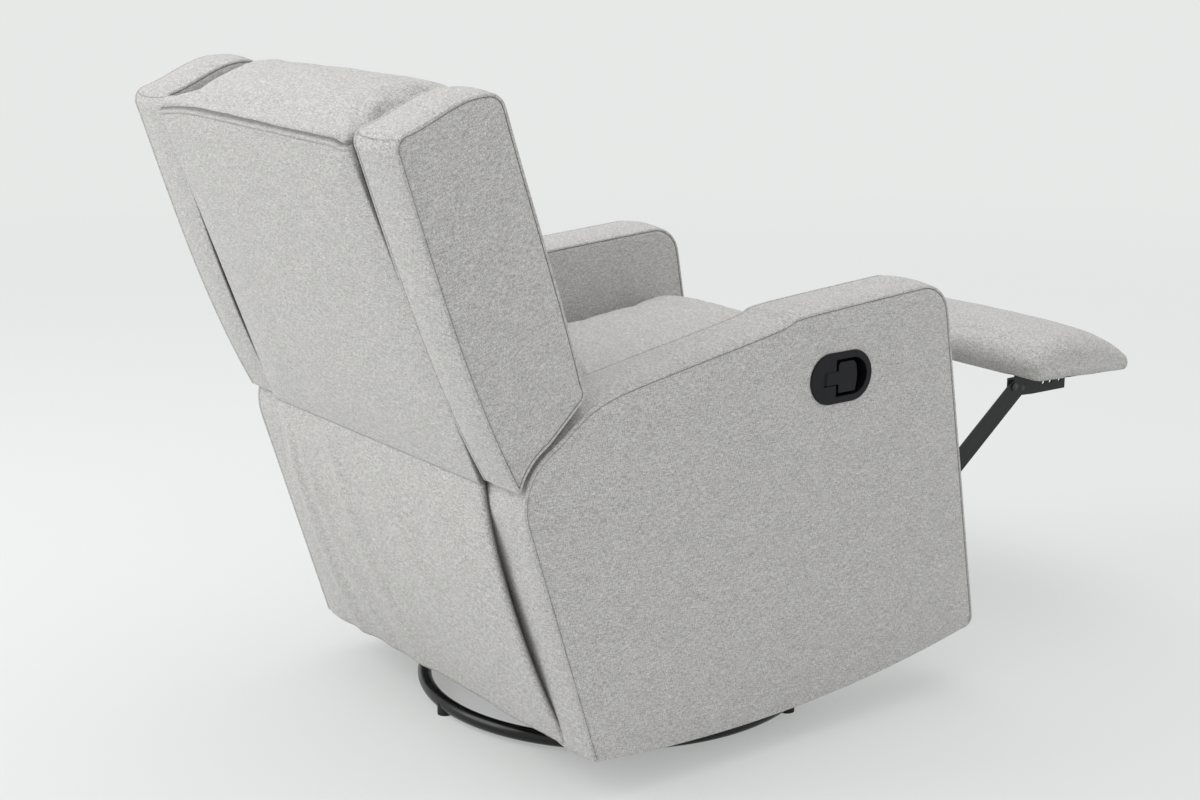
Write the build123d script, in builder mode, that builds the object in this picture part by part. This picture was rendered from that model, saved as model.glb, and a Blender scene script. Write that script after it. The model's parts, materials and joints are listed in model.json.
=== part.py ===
"""Swivel glider recliner: upholstered wing-back chair on a round-tube swivel base.

Frame: +Z up, the sitter faces -Y, X runs across the chair and the sitter's right is -X.
The origin lies on the floor under the middle of the chair's depth, footrest out.
Side profiles are drawn in the (y, z) plane, with y measured from the swivel axis.
All sizes are in millimetres.
"""

import os
from math import cos, radians, sin

from build123d import *

# ---------------------------------------------------------------- driving dimensions
AXIS_Y = 147.5  # swivel axis behind the middle of the depth
HALF_WIDTH = 375.0  # outside of an arm
ARM_INNER = 271.0  # inside of an arm
BACK_LEAN = 20.8  # outside back panel from the vertical, degrees
BACK_FOOT = (439.0, 468.0)  # bottom edge of the outside back panel
BACK_HEIGHT = 493.0  # outside back panel, along its slope
PANEL_HALF_FOOT = 291.8  # the outside back panel narrows towards its top
PANEL_HALF_TOP = 273.3

RING_RADIUS = 304.5
RING_TUBE = 11.0
RING_Z = 17.0
BEARING_Z = 56.0
STAND_PIVOT_Z = 245.0
GLIDE_LINK = 120.0  # between the two pivots of a glide link
GLIDE_Y = 150.0  # glide links stand this far before and behind the swivel axis

RECLINE_PIVOT = (342.0, 450.0)
SHOULDER_R = 84.0  # rear shoulder of an arm, an arc about the recline pivot
WING_R = 92.0  # hollow under a wing, about the same pivot

# Footrest linkage with the footrest out: (y, z) of each pivot
DRIVE_PIVOT = (-282.0, 320.4)  # drive link on the side plate
GUIDE_PIVOT = (-258.1, 289.3)  # guide link on the side plate
CROSS_PIVOT = (-461.9, 247.7)  # long link crosses the drive link
FRONT_PIVOT = (-487.9, 241.7)  # outer link on the end of the drive link
TAIL_PIVOT = (-438.4, 229.0)  # tail of the long link on the guide link
REAR_LUG = (-681.0, 422.0)  # long link on the footrest bracket
FRONT_LUG = (-707.0, 416.0)  # outer link on the footrest bracket
LINK_HALF = 11.0  # half the width of a pressed link
LINK_T = 3.0  # sheet thickness of the linkage
RIVET_R = 4.0
GUIDE_PIN_R = 5.0
FIT = 0.05  # running clearance of a pin, on the radius

# Pressed plates stand side by side; these are their inside faces, from the middle of the chair
STAND_X = 184.0
GLIDE_X = 191.0
PLATE_X = 198.0
OUTER_LINK_X = 204.0
DRIVE_X = 207.5
LONG_X = 211.0
GUIDE_X = 214.5
IRON_X = 217.5
BRACKET_X = 222.0
RAIL_X = 226.0

SIDES = (("right", -1), ("left", 1))

os.makedirs("parts", exist_ok=True)


def save(piece, name):
    """Name a finished piece and write it."""
    piece.part.label = name
    export_step(piece.part, f"parts/{name}.step")


def side_plane(x):
    """Plane of a side profile at x: local axes are y from the swivel axis, and z."""
    return Plane(origin=(x, AXIS_Y, 0), x_dir=(0, 1, 0), z_dir=(1, 0, 0))


def side_slab(side, inner, thickness):
    """Side plane whose extrusion by the thickness fills inner .. inner + thickness."""
    return side_plane(inner if side > 0 else -inner - thickness)


def floor_plane(z):
    """Level plane at height z, centred on the swivel axis."""
    return Plane(origin=(0, AXIS_Y, z))


def turning_plane():
    """Upright plane through the swivel axis: local axes are x and z."""
    return Plane(origin=(0, AXIS_Y, 0), x_dir=(1, 0, 0), z_dir=(0, -1, 0))


BACK_UP = Vector(0, sin(radians(BACK_LEAN)), cos(radians(BACK_LEAN)))
BACK_FORWARD = Vector(0, -cos(radians(BACK_LEAN)), sin(radians(BACK_LEAN)))
BACK_ORIGIN = Vector(0, AXIS_Y + BACK_FOOT[0], BACK_FOOT[1])


def back_plane(forward=0.0):
    """Plane along the outside back: local axes are x and the way up the back."""
    origin = BACK_ORIGIN + BACK_FORWARD * forward
    return Plane(origin=origin, x_dir=(1, 0, 0), z_dir=BACK_FORWARD)


def back_profile_plane(x):
    """Side plane in the back's own axes: forward of the outside panel, and up the back."""
    origin = BACK_ORIGIN + Vector(x, 0, 0)
    return Plane(origin=origin, x_dir=BACK_FORWARD, z_dir=(-1, 0, 0))


def back_point(forward, up):
    """Side-profile point at a distance forward of the outside panel and up the back."""
    at = BACK_ORIGIN + BACK_FORWARD * forward + BACK_UP * up
    return (at.Y - AXIS_Y, at.Z)


def panel_half(up):
    """Half the width of the outside back panel at a height up the back."""
    return PANEL_HALF_FOOT + (PANEL_HALF_TOP - PANEL_HALF_FOOT) * up / BACK_HEIGHT


def about_pivot(radius, angle):
    """Point on an arc about the recline pivot, the angle in degrees from straight back."""
    turn = radians(angle)
    return (RECLINE_PIVOT[0] + radius * cos(turn), RECLINE_PIVOT[1] + radius * sin(turn))


def band(radius, *pivots):
    """Outline of a pressed link: a strip along its pivots with round ends."""
    with BuildSketch() as strip:
        with BuildLine():
            Polyline(*pivots)
        trace(line_width=2 * radius)
        with Locations(*pivots):
            Circle(radius)
    return strip.sketch


def drill(radius, *centres):
    """Round holes in the sketch being drawn."""
    with Locations(*centres):
        Circle(radius, mode=Mode.SUBTRACT)


# ------------------------------------------------------------------------ swivel base
# Ring of bent steel tube, its ends butt-welded.
with BuildPart() as base_ring:
    with BuildSketch(turning_plane()):
        with Locations((RING_RADIUS, RING_Z)):
            Circle(RING_TUBE)
    revolve(axis=Axis((0, AXIS_Y, 0), (0, 0, 1)))
save(base_ring, "base_ring")

# Small moulded feet clipped under the tube.
FOOT_COUNT = 6
FOOT_R = 12.0
with BuildPart() as floor_feet:
    with BuildSketch(floor_plane(0)):
        with PolarLocations(RING_RADIUS, FOOT_COUNT, start_angle=84.6):
            Circle(FOOT_R)
    extrude(amount=RING_Z)
    with BuildSketch(turning_plane()):
        with Locations((RING_RADIUS, RING_Z)):
            Circle(RING_TUBE)
    revolve(axis=Axis((0, AXIS_Y, 0), (0, 0, 1)), mode=Mode.SUBTRACT)
save(floor_feet, "floor_feet")

# Cross of two pressed straps that rise from the ring to the hub.
STRAP_HALF = 22.0
STRAP_T = 4.0
STRAP_FOOT = RING_Z - STRAP_T / 2
STRAP_REACH = RING_RADIUS - 8.0
STRAP_BEND = 280.0
HUB_FLAT = 130.0
with BuildPart() as base_cross:
    for angle in (45, 135):
        along = Vector(cos(radians(angle)), sin(radians(angle)), 0)
        aside = Vector(along.Y, -along.X, 0)
        strap_plane = Plane(
            origin=Vector(0, AXIS_Y, 0) - aside * STRAP_HALF, x_dir=along, z_dir=aside
        )
        with BuildSketch(strap_plane):
            with BuildLine():
                Polyline(
                    (0, BEARING_Z), (HUB_FLAT, BEARING_Z), (STRAP_BEND, STRAP_FOOT + STRAP_T),
                    (STRAP_REACH, STRAP_FOOT + STRAP_T), (STRAP_REACH, STRAP_FOOT),
                    (STRAP_BEND - 1, STRAP_FOOT), (HUB_FLAT - 1, BEARING_Z - STRAP_T),
                    (0, BEARING_Z - STRAP_T),
                )
                mirror(about=Plane.YZ)
            make_face()
        extrude(amount=2 * STRAP_HALF)
    with BuildSketch(floor_plane(BEARING_Z - 2 * STRAP_T)):
        Circle(8)
    extrude(amount=3 * STRAP_T, mode=Mode.SUBTRACT)
    with BuildSketch(turning_plane()):
        with Locations((RING_RADIUS, RING_Z)):
            Circle(RING_TUBE)
    revolve(axis=Axis((0, AXIS_Y, 0), (0, 0, 1)), mode=Mode.SUBTRACT)
save(base_cross, "base_cross")

# Ball turntable: two pressed plates with a race between them, held by a kingpin.
PRESSING = 3.0
RACE_R = 62.0
BALL_R = 4.75
BALL_COUNT = 10
KINGPIN_R = 8.0
UPPER_Z = BEARING_Z + PRESSING + 2 * BALL_R + 0.1
TURNTABLE = 180.0
BOLT_SPACING = 140.0
BOLT_R = 4.0
with BuildPart() as lower_bearing_plate:
    with BuildSketch(floor_plane(BEARING_Z)):
        RectangleRounded(TURNTABLE, TURNTABLE, 20)
        drill(KINGPIN_R, (0, 0))
        with GridLocations(BOLT_SPACING, BOLT_SPACING, 2, 2):
            Circle(BOLT_R, mode=Mode.SUBTRACT)
    extrude(amount=PRESSING)
    with BuildSketch(floor_plane(BEARING_Z + PRESSING)):
        Circle(RACE_R + BALL_R + 5)
        Circle(RACE_R + BALL_R, mode=Mode.SUBTRACT)
    extrude(amount=BALL_R)
save(lower_bearing_plate, "lower_bearing_plate")

with BuildPart() as bearing_balls:
    with Locations(floor_plane(BEARING_Z + PRESSING + BALL_R)):
        with PolarLocations(RACE_R, BALL_COUNT):
            Sphere(BALL_R)
save(bearing_balls, "bearing_balls")

with BuildPart() as swivel_kingpin:
    with BuildSketch(floor_plane(BEARING_Z - STRAP_T - 4)):
        Circle(14)
    extrude(amount=4)
    with BuildSketch(floor_plane(BEARING_Z - STRAP_T)):
        Circle(KINGPIN_R)
    extrude(amount=UPPER_Z + PRESSING + 0.5 - BEARING_Z + STRAP_T)
    with BuildSketch(floor_plane(UPPER_Z + PRESSING + 0.5)):
        Circle(13)
    extrude(amount=4)
save(swivel_kingpin, "swivel_kingpin")

# ------------------------------------------------------- glide stand on the turntable
CHANNEL_Z = UPPER_Z + PRESSING
CHANNEL_H = 26.0
CHANNEL_W = 40.0
CHANNEL_Y = 72.0
STAND_T = 4.0
with BuildPart() as upper_bearing_plate:
    with BuildSketch(floor_plane(UPPER_Z)):
        RectangleRounded(TURNTABLE, TURNTABLE + 20, 20)
        drill(KINGPIN_R + FIT, (0, 0))
        with GridLocations(BOLT_SPACING, 2 * CHANNEL_Y, 2, 2):
            Circle(BOLT_R, mode=Mode.SUBTRACT)
    extrude(amount=PRESSING)
save(upper_bearing_plate, "upper_bearing_plate")

# Two pressed channels, open at the top, carry the stand plates.
with BuildPart() as stand_channels:
    for y in (-CHANNEL_Y, CHANNEL_Y):
        with BuildSketch(side_plane(-STAND_X)):
            with Locations((y, CHANNEL_Z)):
                Rectangle(CHANNEL_W, CHANNEL_H, align=(Align.CENTER, Align.MIN))
            with Locations((y, CHANNEL_Z + PRESSING)):
                Rectangle(
                    CHANNEL_W - 2 * PRESSING, CHANNEL_H, align=(Align.CENTER, Align.MIN),
                    mode=Mode.SUBTRACT,
                )
        extrude(amount=2 * STAND_X)
    with BuildSketch(floor_plane(CHANNEL_Z - 1)):
        with GridLocations(BOLT_SPACING, 2 * CHANNEL_Y, 2, 2):
            Circle(BOLT_R)
    extrude(amount=PRESSING + 2, mode=Mode.SUBTRACT)
save(stand_channels, "stand_channels")

with BuildPart() as stand_bolts:
    with BuildSketch(floor_plane(UPPER_Z)):
        with GridLocations(BOLT_SPACING, 2 * CHANNEL_Y, 2, 2):
            Circle(BOLT_R)
    extrude(amount=2 * PRESSING)
    with BuildSketch(floor_plane(CHANNEL_Z + PRESSING)):
        with GridLocations(BOLT_SPACING, 2 * CHANNEL_Y, 2, 2):
            RegularPolygon(7, 6)
    extrude(amount=5)
save(stand_bolts, "stand_bolts")

STAND_PIVOTS = ((-GLIDE_Y, STAND_PIVOT_Z), (GLIDE_Y, STAND_PIVOT_Z))
HUNG_PIVOTS = tuple((y, z - GLIDE_LINK) for y, z in STAND_PIVOTS)
PIVOT_R = 6.0
COLLAR_R = 9.0
HEAD_T = 1.8
SLACK = 0.3  # end play of every pivot
SILL_TOP = CHANNEL_Z + 44.0  # top of the stand plate between its two uprights
UPRIGHT_FOOT = 30.0
UPRIGHT_HEAD = 16.0
for name, side in SIDES:
    with BuildPart() as glide_stand:
        with BuildSketch(side_slab(side, STAND_X, STAND_T)):
            with Locations((0, CHANNEL_Z)):
                Rectangle(
                    2 * (GLIDE_Y + UPRIGHT_FOOT), SILL_TOP - CHANNEL_Z,
                    align=(Align.CENTER, Align.MIN),
                )
            for y in (-GLIDE_Y, GLIDE_Y):
                with BuildLine():
                    Polyline(
                        (y - UPRIGHT_FOOT, SILL_TOP), (y + UPRIGHT_FOOT, SILL_TOP),
                        (y + UPRIGHT_HEAD, STAND_PIVOT_Z), (y - UPRIGHT_HEAD, STAND_PIVOT_Z),
                        (y - UPRIGHT_FOOT, SILL_TOP),
                    )
                make_face()
            with Locations(*STAND_PIVOTS):
                Circle(UPRIGHT_HEAD)
            drill(PIVOT_R, *STAND_PIVOTS)
            with Locations((-100, SILL_TOP - 22), (100, SILL_TOP - 22), (0, SILL_TOP - 22)):
                SlotOverall(50, 16, mode=Mode.SUBTRACT)
        extrude(amount=STAND_T)
    save(glide_stand, f"glide_stand_{name}")


def pin_set(pivots, stack):
    """Discs of a stepped pin at each pivot, on both sides, each (inner face, length, radius)."""
    with BuildPart() as pins:
        for _, side in SIDES:
            for inner, length, radius in stack:
                with BuildSketch(side_slab(side, inner, length)):
                    with Locations(*pivots):
                        Circle(radius)
                extrude(amount=length)
    return pins.part


# Shouldered pins riveted in the stand carry the four glide links.
STAND_FACE = STAND_X + STAND_T
GLIDE_FACE = GLIDE_X + STAND_T
with BuildPart() as glide_top_pins:
    add(pin_set(STAND_PIVOTS, (
        (STAND_X - HEAD_T, HEAD_T, 10.0),
        (STAND_X, GLIDE_FACE + SLACK - STAND_X, PIVOT_R),
        (STAND_FACE, GLIDE_X - SLACK - STAND_FACE, COLLAR_R),
        (GLIDE_FACE + SLACK, HEAD_T, COLLAR_R),
    )))
save(glide_top_pins, "glide_top_pins")

for where, (y, z) in zip(("front", "rear"), STAND_PIVOTS):
    with BuildPart() as glide_links:
        for name, side in SIDES:
            with BuildSketch(side_slab(side, GLIDE_X, STAND_T)):
                add(band(14, (y, z), (y, z - GLIDE_LINK)))
                drill(PIVOT_R + FIT, (y, z), (y, z - GLIDE_LINK))
            extrude(amount=STAND_T)
    save(glide_links, f"glide_links_{where}")

# ------------------------------------------------------------ seat mechanism, fixed parts
PLATE_TOP = 383.0
FLANGE_W = 44.0
for name, side in SIDES:
    with BuildPart() as side_plate:
        with BuildSketch(side_slab(side, PLATE_X, LINK_T)) as plate_sketch:
            with BuildLine():
                Polyline(
                    (190, 108), (-196, 108), (-222, 140), (-238, 262), (-262, 272), (-300, 305),
                    (-300, 340), (-288, PLATE_TOP), (190, PLATE_TOP), (216, 345), (216, 146),
                    (190, 108),
                )
            make_face()
            fillet(plate_sketch.vertices(), 9)
            drill(PIVOT_R, *HUNG_PIVOTS)
            drill(8 + FIT, DRIVE_PIVOT)
            drill(GUIDE_PIN_R, GUIDE_PIVOT)
            with Locations((-120, 215), (0, 215), (120, 215)):
                RectangleRounded(84, 100, 18, mode=Mode.SUBTRACT)
            drill(6, (-150, 322), (-30, 322), (90, 322))
        extrude(amount=LINK_T)
        with BuildSketch(side_slab(side, PLATE_X, FLANGE_W)):
            with Locations((-48, PLATE_TOP - LINK_T)):
                Rectangle(480, LINK_T, align=(Align.CENTER, Align.MIN))
        extrude(amount=FLANGE_W)
    save(side_plate, f"side_plate_{name}")

# Pins in the side plates: the lower ends of the glide links and the guide links.
PLATE_FACE = PLATE_X + LINK_T
GUIDE_FACE = GUIDE_X + LINK_T
with BuildPart() as mechanism_pins:
    add(pin_set(HUNG_PIVOTS, (
        (GLIDE_X - SLACK - HEAD_T, HEAD_T, COLLAR_R),
        (GLIDE_X - SLACK, PLATE_FACE - GLIDE_X + SLACK, PIVOT_R),
        (GLIDE_FACE + SLACK, PLATE_X - GLIDE_FACE - SLACK, COLLAR_R),
    )))
    add(pin_set((GUIDE_PIVOT,), (
        (PLATE_X, GUIDE_FACE + SLACK - PLATE_X, GUIDE_PIN_R),
        (PLATE_FACE, GUIDE_X - SLACK - PLATE_FACE, GUIDE_PIN_R + 1),
        (GUIDE_FACE + SLACK, HEAD_T, GUIDE_PIN_R + 3),
    )))
save(mechanism_pins, "mechanism_pins")

# Round tubes tie the two side plates together.
TIE_R = 11.0
TIE_WALL = 1.5
with BuildPart() as tie_tubes:
    with BuildSketch(side_plane(-PLATE_X)):
        with Locations((-205, 345), (190, 335)):
            Circle(TIE_R)
            Circle(TIE_R - TIE_WALL, mode=Mode.SUBTRACT)
    extrude(amount=2 * PLATE_X)
save(tie_tubes, "tie_tubes")

# ----------------------------------------------------------------- seat frame and deck
RAIL_H = 38.0
RAIL_TOP = PLATE_TOP + RAIL_H
RAIL_FRONT = -283.0
RAIL_REAR = 200.0
RAIL_T = 28.0
for name, side in SIDES:
    with BuildPart() as seat_rail:
        with BuildSketch(side_slab(side, RAIL_X, ARM_INNER - RAIL_X)):
            with BuildLine():
                Polyline(
                    (RAIL_REAR, PLATE_TOP), (RAIL_REAR, RAIL_TOP), (RAIL_FRONT, RAIL_TOP),
                    (RAIL_FRONT, PLATE_TOP), (RAIL_REAR, PLATE_TOP),
                )
            make_face()
        extrude(amount=ARM_INNER - RAIL_X)
    save(seat_rail, f"seat_rail_{name}")

# The rear rail is shorter, to pass between the brackets of the back.
for where, y, half in (("front", RAIL_FRONT, RAIL_X), ("rear", RAIL_REAR - RAIL_T, BRACKET_X)):
    with BuildPart() as cross_rail:
        with BuildSketch(side_plane(-half)):
            with Locations((y, PLATE_TOP)):
                Rectangle(RAIL_T, RAIL_H, align=(Align.MIN, Align.MIN))
        extrude(amount=2 * half)
    save(cross_rail, f"seat_rail_{where}")

# Zigzag wire springs, front rail to rear rail.
WIRE = 3.8
SPRING_COUNT = 5
SPRING_SPACING = 88.0
SPRING_TURNS = 7
SPRING_SWING = 22.0
SPRING_START = RAIL_FRONT + 12.0
SPRING_PITCH = (RAIL_REAR - 6.0 - SPRING_START) / (2 * SPRING_TURNS)
BEND_RISE = 2.0  # the runs across lie slightly askew
with BuildPart() as seat_springs:
    for index in range(SPRING_COUNT):
        x = (index - (SPRING_COUNT - 1) / 2) * SPRING_SPACING
        path = [(x, SPRING_START)]
        for turn in range(2 * SPRING_TURNS):
            y = SPRING_START + turn * SPRING_PITCH
            swing = SPRING_SWING if turn % 2 else -SPRING_SWING
            path += [(x + swing, y + BEND_RISE), (x + swing, y + SPRING_PITCH - BEND_RISE)]
        with BuildSketch(floor_plane(RAIL_TOP)):
            with BuildLine():
                wire = Polyline(*path)
                offset(wire, amount=WIRE / 2, kind=Kind.INTERSECTION, side=Side.BOTH)
            make_face()
        extrude(amount=WIRE)
save(seat_springs, "seat_springs")

# ------------------------------------------------------------------------ seat cushion
CUSHION_Z = RAIL_TOP + WIRE
CUSHION_HALF = 268.5
SEAT_SINK = 14.0
SEAT_CROWN = 6.0


def stations(half):
    """Places across a cushion, and how full it is there: 0 at its sides, 1 in the middle."""
    steps = (-1, -0.94, -0.8, -0.5, 0, 0.5, 0.8, 0.94, 1)
    return [(half * step, (1 - step**6) ** 0.5) for step in steps]


def seat_section(x, sink, crown):
    """Side profile of the seat cushion at x, drawn in by the sink and raised by the crown."""
    rise = crown - sink
    with BuildSketch(side_plane(x)) as section:
        with BuildLine():
            Line((230 - sink, CUSHION_Z + 18), (231 - sink, 474 - sink))
            ThreePointArc((231 - sink, 474 - sink), (220 - sink, 492 - sink), (185 - sink, 502 + rise))
            ThreePointArc((185 - sink, 502 + rise), (-70, 528 + rise), (-296, 557 + rise))
            ThreePointArc((-296, 557 + rise), (-338 + sink, 540 - sink), (-352 + sink, 496))
            ThreePointArc((-352 + sink, 496), (-336 + sink, 450), (-292, 436))
            Polyline(
                (-292, 436), (-284, CUSHION_Z), (218 - sink, CUSHION_Z),
                (230 - sink, CUSHION_Z + 18),
            )
        make_face()
    return section.sketch


with BuildPart() as seat_cushion:
    for x, fullness in stations(CUSHION_HALF):
        add(seat_section(x, SEAT_SINK * (1 - fullness), SEAT_CROWN * fullness))
    loft(ruled=True)
save(seat_cushion, "seat_cushion")

# -------------------------------------------------------------------------------- arms
ARM_T = HALF_WIDTH - ARM_INNER


def arm_outline():
    """Side outline of an arm: leaning ends, rising top, round shoulder, bowed bottom."""
    rear_low = (313, 68)
    shoulder_low = about_pivot(SHOULDER_R, -17)
    shoulder_mid = about_pivot(SHOULDER_R, 22)
    shoulder_top = about_pivot(SHOULDER_R, 60)
    with BuildLine() as outline:
        Line(rear_low, shoulder_low)
        ThreePointArc(shoulder_low, shoulder_mid, shoulder_top)
        crest = Spline(
            shoulder_top, (325, 565), (236, 593), (-20, 640), (-288, 665),
            tangents=[(-0.87, 0.5), (-0.997, 0.06)],
        )
        front = TangentArc((-288, 665), (-344, 622), tangent=(-1, 0.06))
        Line(front @ 1, (-428, 122))
        corner = ThreePointArc((-428, 122), (-424, 107), (-408, 101))
        ThreePointArc(corner @ 1, (-20, 55), rear_low)
    return outline.line


def arm_frame_outline():
    """Outline of the boarded frame inside an arm, open at the bottom of the upholstery."""
    with BuildLine() as outline:
        rear = Polyline((285, 60), (386, 425), (352, 505), (235, 562), (-288, 632), (-314, 602))
        front = Line(rear @ 1, (-390, 98))
        ThreePointArc(front @ 1, (-20, 40), rear @ 0)
    return outline.line


ARM_CORNER = 8.0
WELT_EDGE = 3.0  # a welted edge turns this round

# Recessed handle on the right arm
HANDLE_AT = (-126.5, 550.0)
HANDLE_L = 119.0
HANDLE_H = 76.0
CUP_L = 103.0
CUP_H = 60.0
CUP_DEPTH = 38.0
FLANGE_PROUD = 3.0
FRAME_INNER = 287.0
FRAME_OUTER = 332.0
for name, side in SIDES:
    with BuildPart() as arm_cover:
        with BuildSketch(side_slab(side, ARM_INNER, ARM_T)) as cover_sketch:
            add(arm_outline())
            make_face()
            fillet(cover_sketch.vertices().sort_by(Axis.Y)[0], ARM_CORNER)
        extrude(amount=ARM_T)
        for flat_side in arm_cover.faces().filter_by(Axis.X):
            fillet(flat_side.outer_wire().edges(), WELT_EDGE)
        with BuildSketch(side_slab(side, FRAME_INNER, FRAME_OUTER - FRAME_INNER)):
            add(arm_frame_outline())
            make_face()
        extrude(amount=FRAME_OUTER - FRAME_INNER, mode=Mode.SUBTRACT)
        if name == "right":
            with BuildSketch(side_slab(side, FRAME_OUTER, HALF_WIDTH - FRAME_OUTER)):
                with Locations(HANDLE_AT):
                    SlotOverall(CUP_L, CUP_H)
            extrude(amount=HALF_WIDTH - FRAME_OUTER, mode=Mode.SUBTRACT)
    save(arm_cover, f"arm_cover_{name}")

BOARD = 15.0
for name, side in SIDES:
    with BuildPart() as arm_frame:
        with BuildSketch(side_slab(side, FRAME_INNER, FRAME_OUTER - FRAME_INNER)) as frame_sketch:
            add(arm_frame_outline())
            make_face()
        extrude(amount=FRAME_OUTER - FRAME_INNER)
        with BuildSketch(side_slab(side, ARM_INNER, ARM_T)):
            add(arm_outline())
            make_face()
        extrude(amount=ARM_T, mode=Mode.INTERSECT)
        with BuildSketch(side_slab(side, FRAME_INNER + BOARD, FRAME_OUTER - FRAME_INNER)):
            with BuildLine():
                Polyline(
                    (282, 100), (366, 425), (338, 488), (226, 544), (-280, 612), (-298, 590),
                    (-368, 140), (-200, 108), (0, 90), (160, 88), (282, 100),
                )
            make_face()
        extrude(amount=FRAME_OUTER - FRAME_INNER, mode=Mode.SUBTRACT)
        with BuildSketch(side_slab(side, FRAME_INNER - 5, BOARD + 10)):
            with Locations((-190, 250), (0, 230), (190, 240)):
                RectangleRounded(110, 150, 20, mode=Mode.ADD)
        extrude(amount=BOARD + 10, mode=Mode.SUBTRACT)
    save(arm_frame, f"arm_frame_{name}")

# --------------------------------------------------------------------- release handle
CUP_WALL = 2.5
CUP_FLOOR = HALF_WIDTH - CUP_DEPTH
MOUTH_H = CUP_H - 2 * CUP_WALL
MOUTH_FRONT = HANDLE_AT[0] - CUP_L / 2 + CUP_WALL
MOUTH_REAR = -115.0
LEVER_Y = -92.5
LEVER_X = HALF_WIDTH - 9.0
STEM_HALF = 9.5
STEM_SLOT = (-91.0, 2 * STEM_HALF + 2.0)  # rear end and height of the slot round the stem
PIN_R = 2.0
PIN_L = 52.0


def handle_mouth():
    """T-shaped mouth of the handle plate: round in front, a narrow slot behind."""
    with BuildSketch() as mouth:
        with Locations((MOUTH_FRONT + MOUTH_H / 2, HANDLE_AT[1])):
            Circle(MOUTH_H / 2)
        for front, rear, height in (
            (MOUTH_FRONT + MOUTH_H / 2, MOUTH_REAR, MOUTH_H),
            (MOUTH_REAR - 5, STEM_SLOT[0], STEM_SLOT[1]),
        ):
            with Locations((front, HANDLE_AT[1])):
                Rectangle(rear - front, height, align=(Align.MIN, Align.CENTER))
    return mouth.sketch


with BuildPart() as handle_cup:
    with BuildSketch(side_slab(-1, CUP_FLOOR, CUP_DEPTH)):
        with Locations(HANDLE_AT):
            SlotOverall(CUP_L, CUP_H)
    extrude(amount=CUP_DEPTH)
    with BuildSketch(side_slab(-1, CUP_FLOOR + CUP_WALL, CUP_DEPTH - CUP_WALL)):
        with Locations(HANDLE_AT):
            SlotOverall(CUP_L - 2 * CUP_WALL, MOUTH_H)
    extrude(amount=CUP_DEPTH - CUP_WALL, mode=Mode.SUBTRACT)
    with BuildSketch(side_slab(-1, HALF_WIDTH, FLANGE_PROUD)):
        with Locations(HANDLE_AT):
            SlotOverall(HANDLE_L, HANDLE_H)
        add(handle_mouth(), mode=Mode.SUBTRACT)
    extrude(amount=FLANGE_PROUD)
    fillet(handle_cup.faces().sort_by(Axis.X)[0].outer_wire().edges(), 2)
    with BuildSketch(floor_plane(HANDLE_AT[1] - CUP_H / 2 - 1)):
        with Locations((-LEVER_X, LEVER_Y)):
            Circle(PIN_R)
    extrude(amount=CUP_H + 2, mode=Mode.SUBTRACT)
save(handle_cup, "handle_cup")

with BuildPart() as lever_pin:
    with BuildSketch(floor_plane(HANDLE_AT[1] - PIN_L / 2)):
        with Locations((-LEVER_X, LEVER_Y)):
            Circle(PIN_R)
    extrude(amount=PIN_L)
save(lever_pin, "lever_pin")

# T-shaped paddle: a narrow stem that dips under the plate to its hinge, and a wide blade.
BLADE_FRONT = -156.5
BLADE_REAR = -120.5
BLADE_HALF = 22.5
BLADE_T = 8.0
BLADE_CORNER = 4.0
LEVER_FACE = HALF_WIDTH + 2.0
BARREL_R = 5.0
DIP = 2.5  # the stem's face drops to clear the plate as the lever swings out
with BuildPart() as release_lever:
    with BuildSketch(side_slab(-1, LEVER_FACE - BLADE_T, BLADE_T)) as blade:
        with BuildLine():
            top_front = (BLADE_FRONT + BLADE_CORNER, HANDLE_AT[1] + BLADE_HALF)
            low_front = (BLADE_FRONT + BLADE_CORNER, HANDLE_AT[1] - BLADE_HALF)
            ThreePointArc(top_front, (BLADE_FRONT, HANDLE_AT[1]), low_front)
            Polyline(
                low_front, (BLADE_REAR, HANDLE_AT[1] - BLADE_HALF),
                (BLADE_REAR, HANDLE_AT[1] + BLADE_HALF), top_front,
            )
        make_face()
        chamfer(blade.vertices().group_by(Axis.Y)[-1], BLADE_CORNER)
    extrude(amount=BLADE_T)
    with BuildSketch(floor_plane(HANDLE_AT[1] - STEM_HALF)):
        with BuildLine():
            Polyline(
                (-LEVER_FACE, BLADE_REAR - 1), (-LEVER_FACE, LEVER_Y - 6.5),
                (DIP - LEVER_FACE, LEVER_Y - 4.2), (DIP - LEVER_FACE, LEVER_Y),
                (BLADE_T - LEVER_FACE, LEVER_Y), (BLADE_T - LEVER_FACE, BLADE_REAR - 1),
                (-LEVER_FACE, BLADE_REAR - 1),
            )
        make_face()
        with Locations((-LEVER_X, LEVER_Y)):
            Circle(BARREL_R)
            Circle(PIN_R + FIT, mode=Mode.SUBTRACT)
    extrude(amount=2 * STEM_HALF)
    with BuildSketch(side_slab(-1, LEVER_FACE - 24, 18)):
        with Locations((HANDLE_AT[0] - 6, HANDLE_AT[1])):
            Rectangle(6, 36)
    extrude(amount=18)
save(release_lever, "release_lever")

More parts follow.
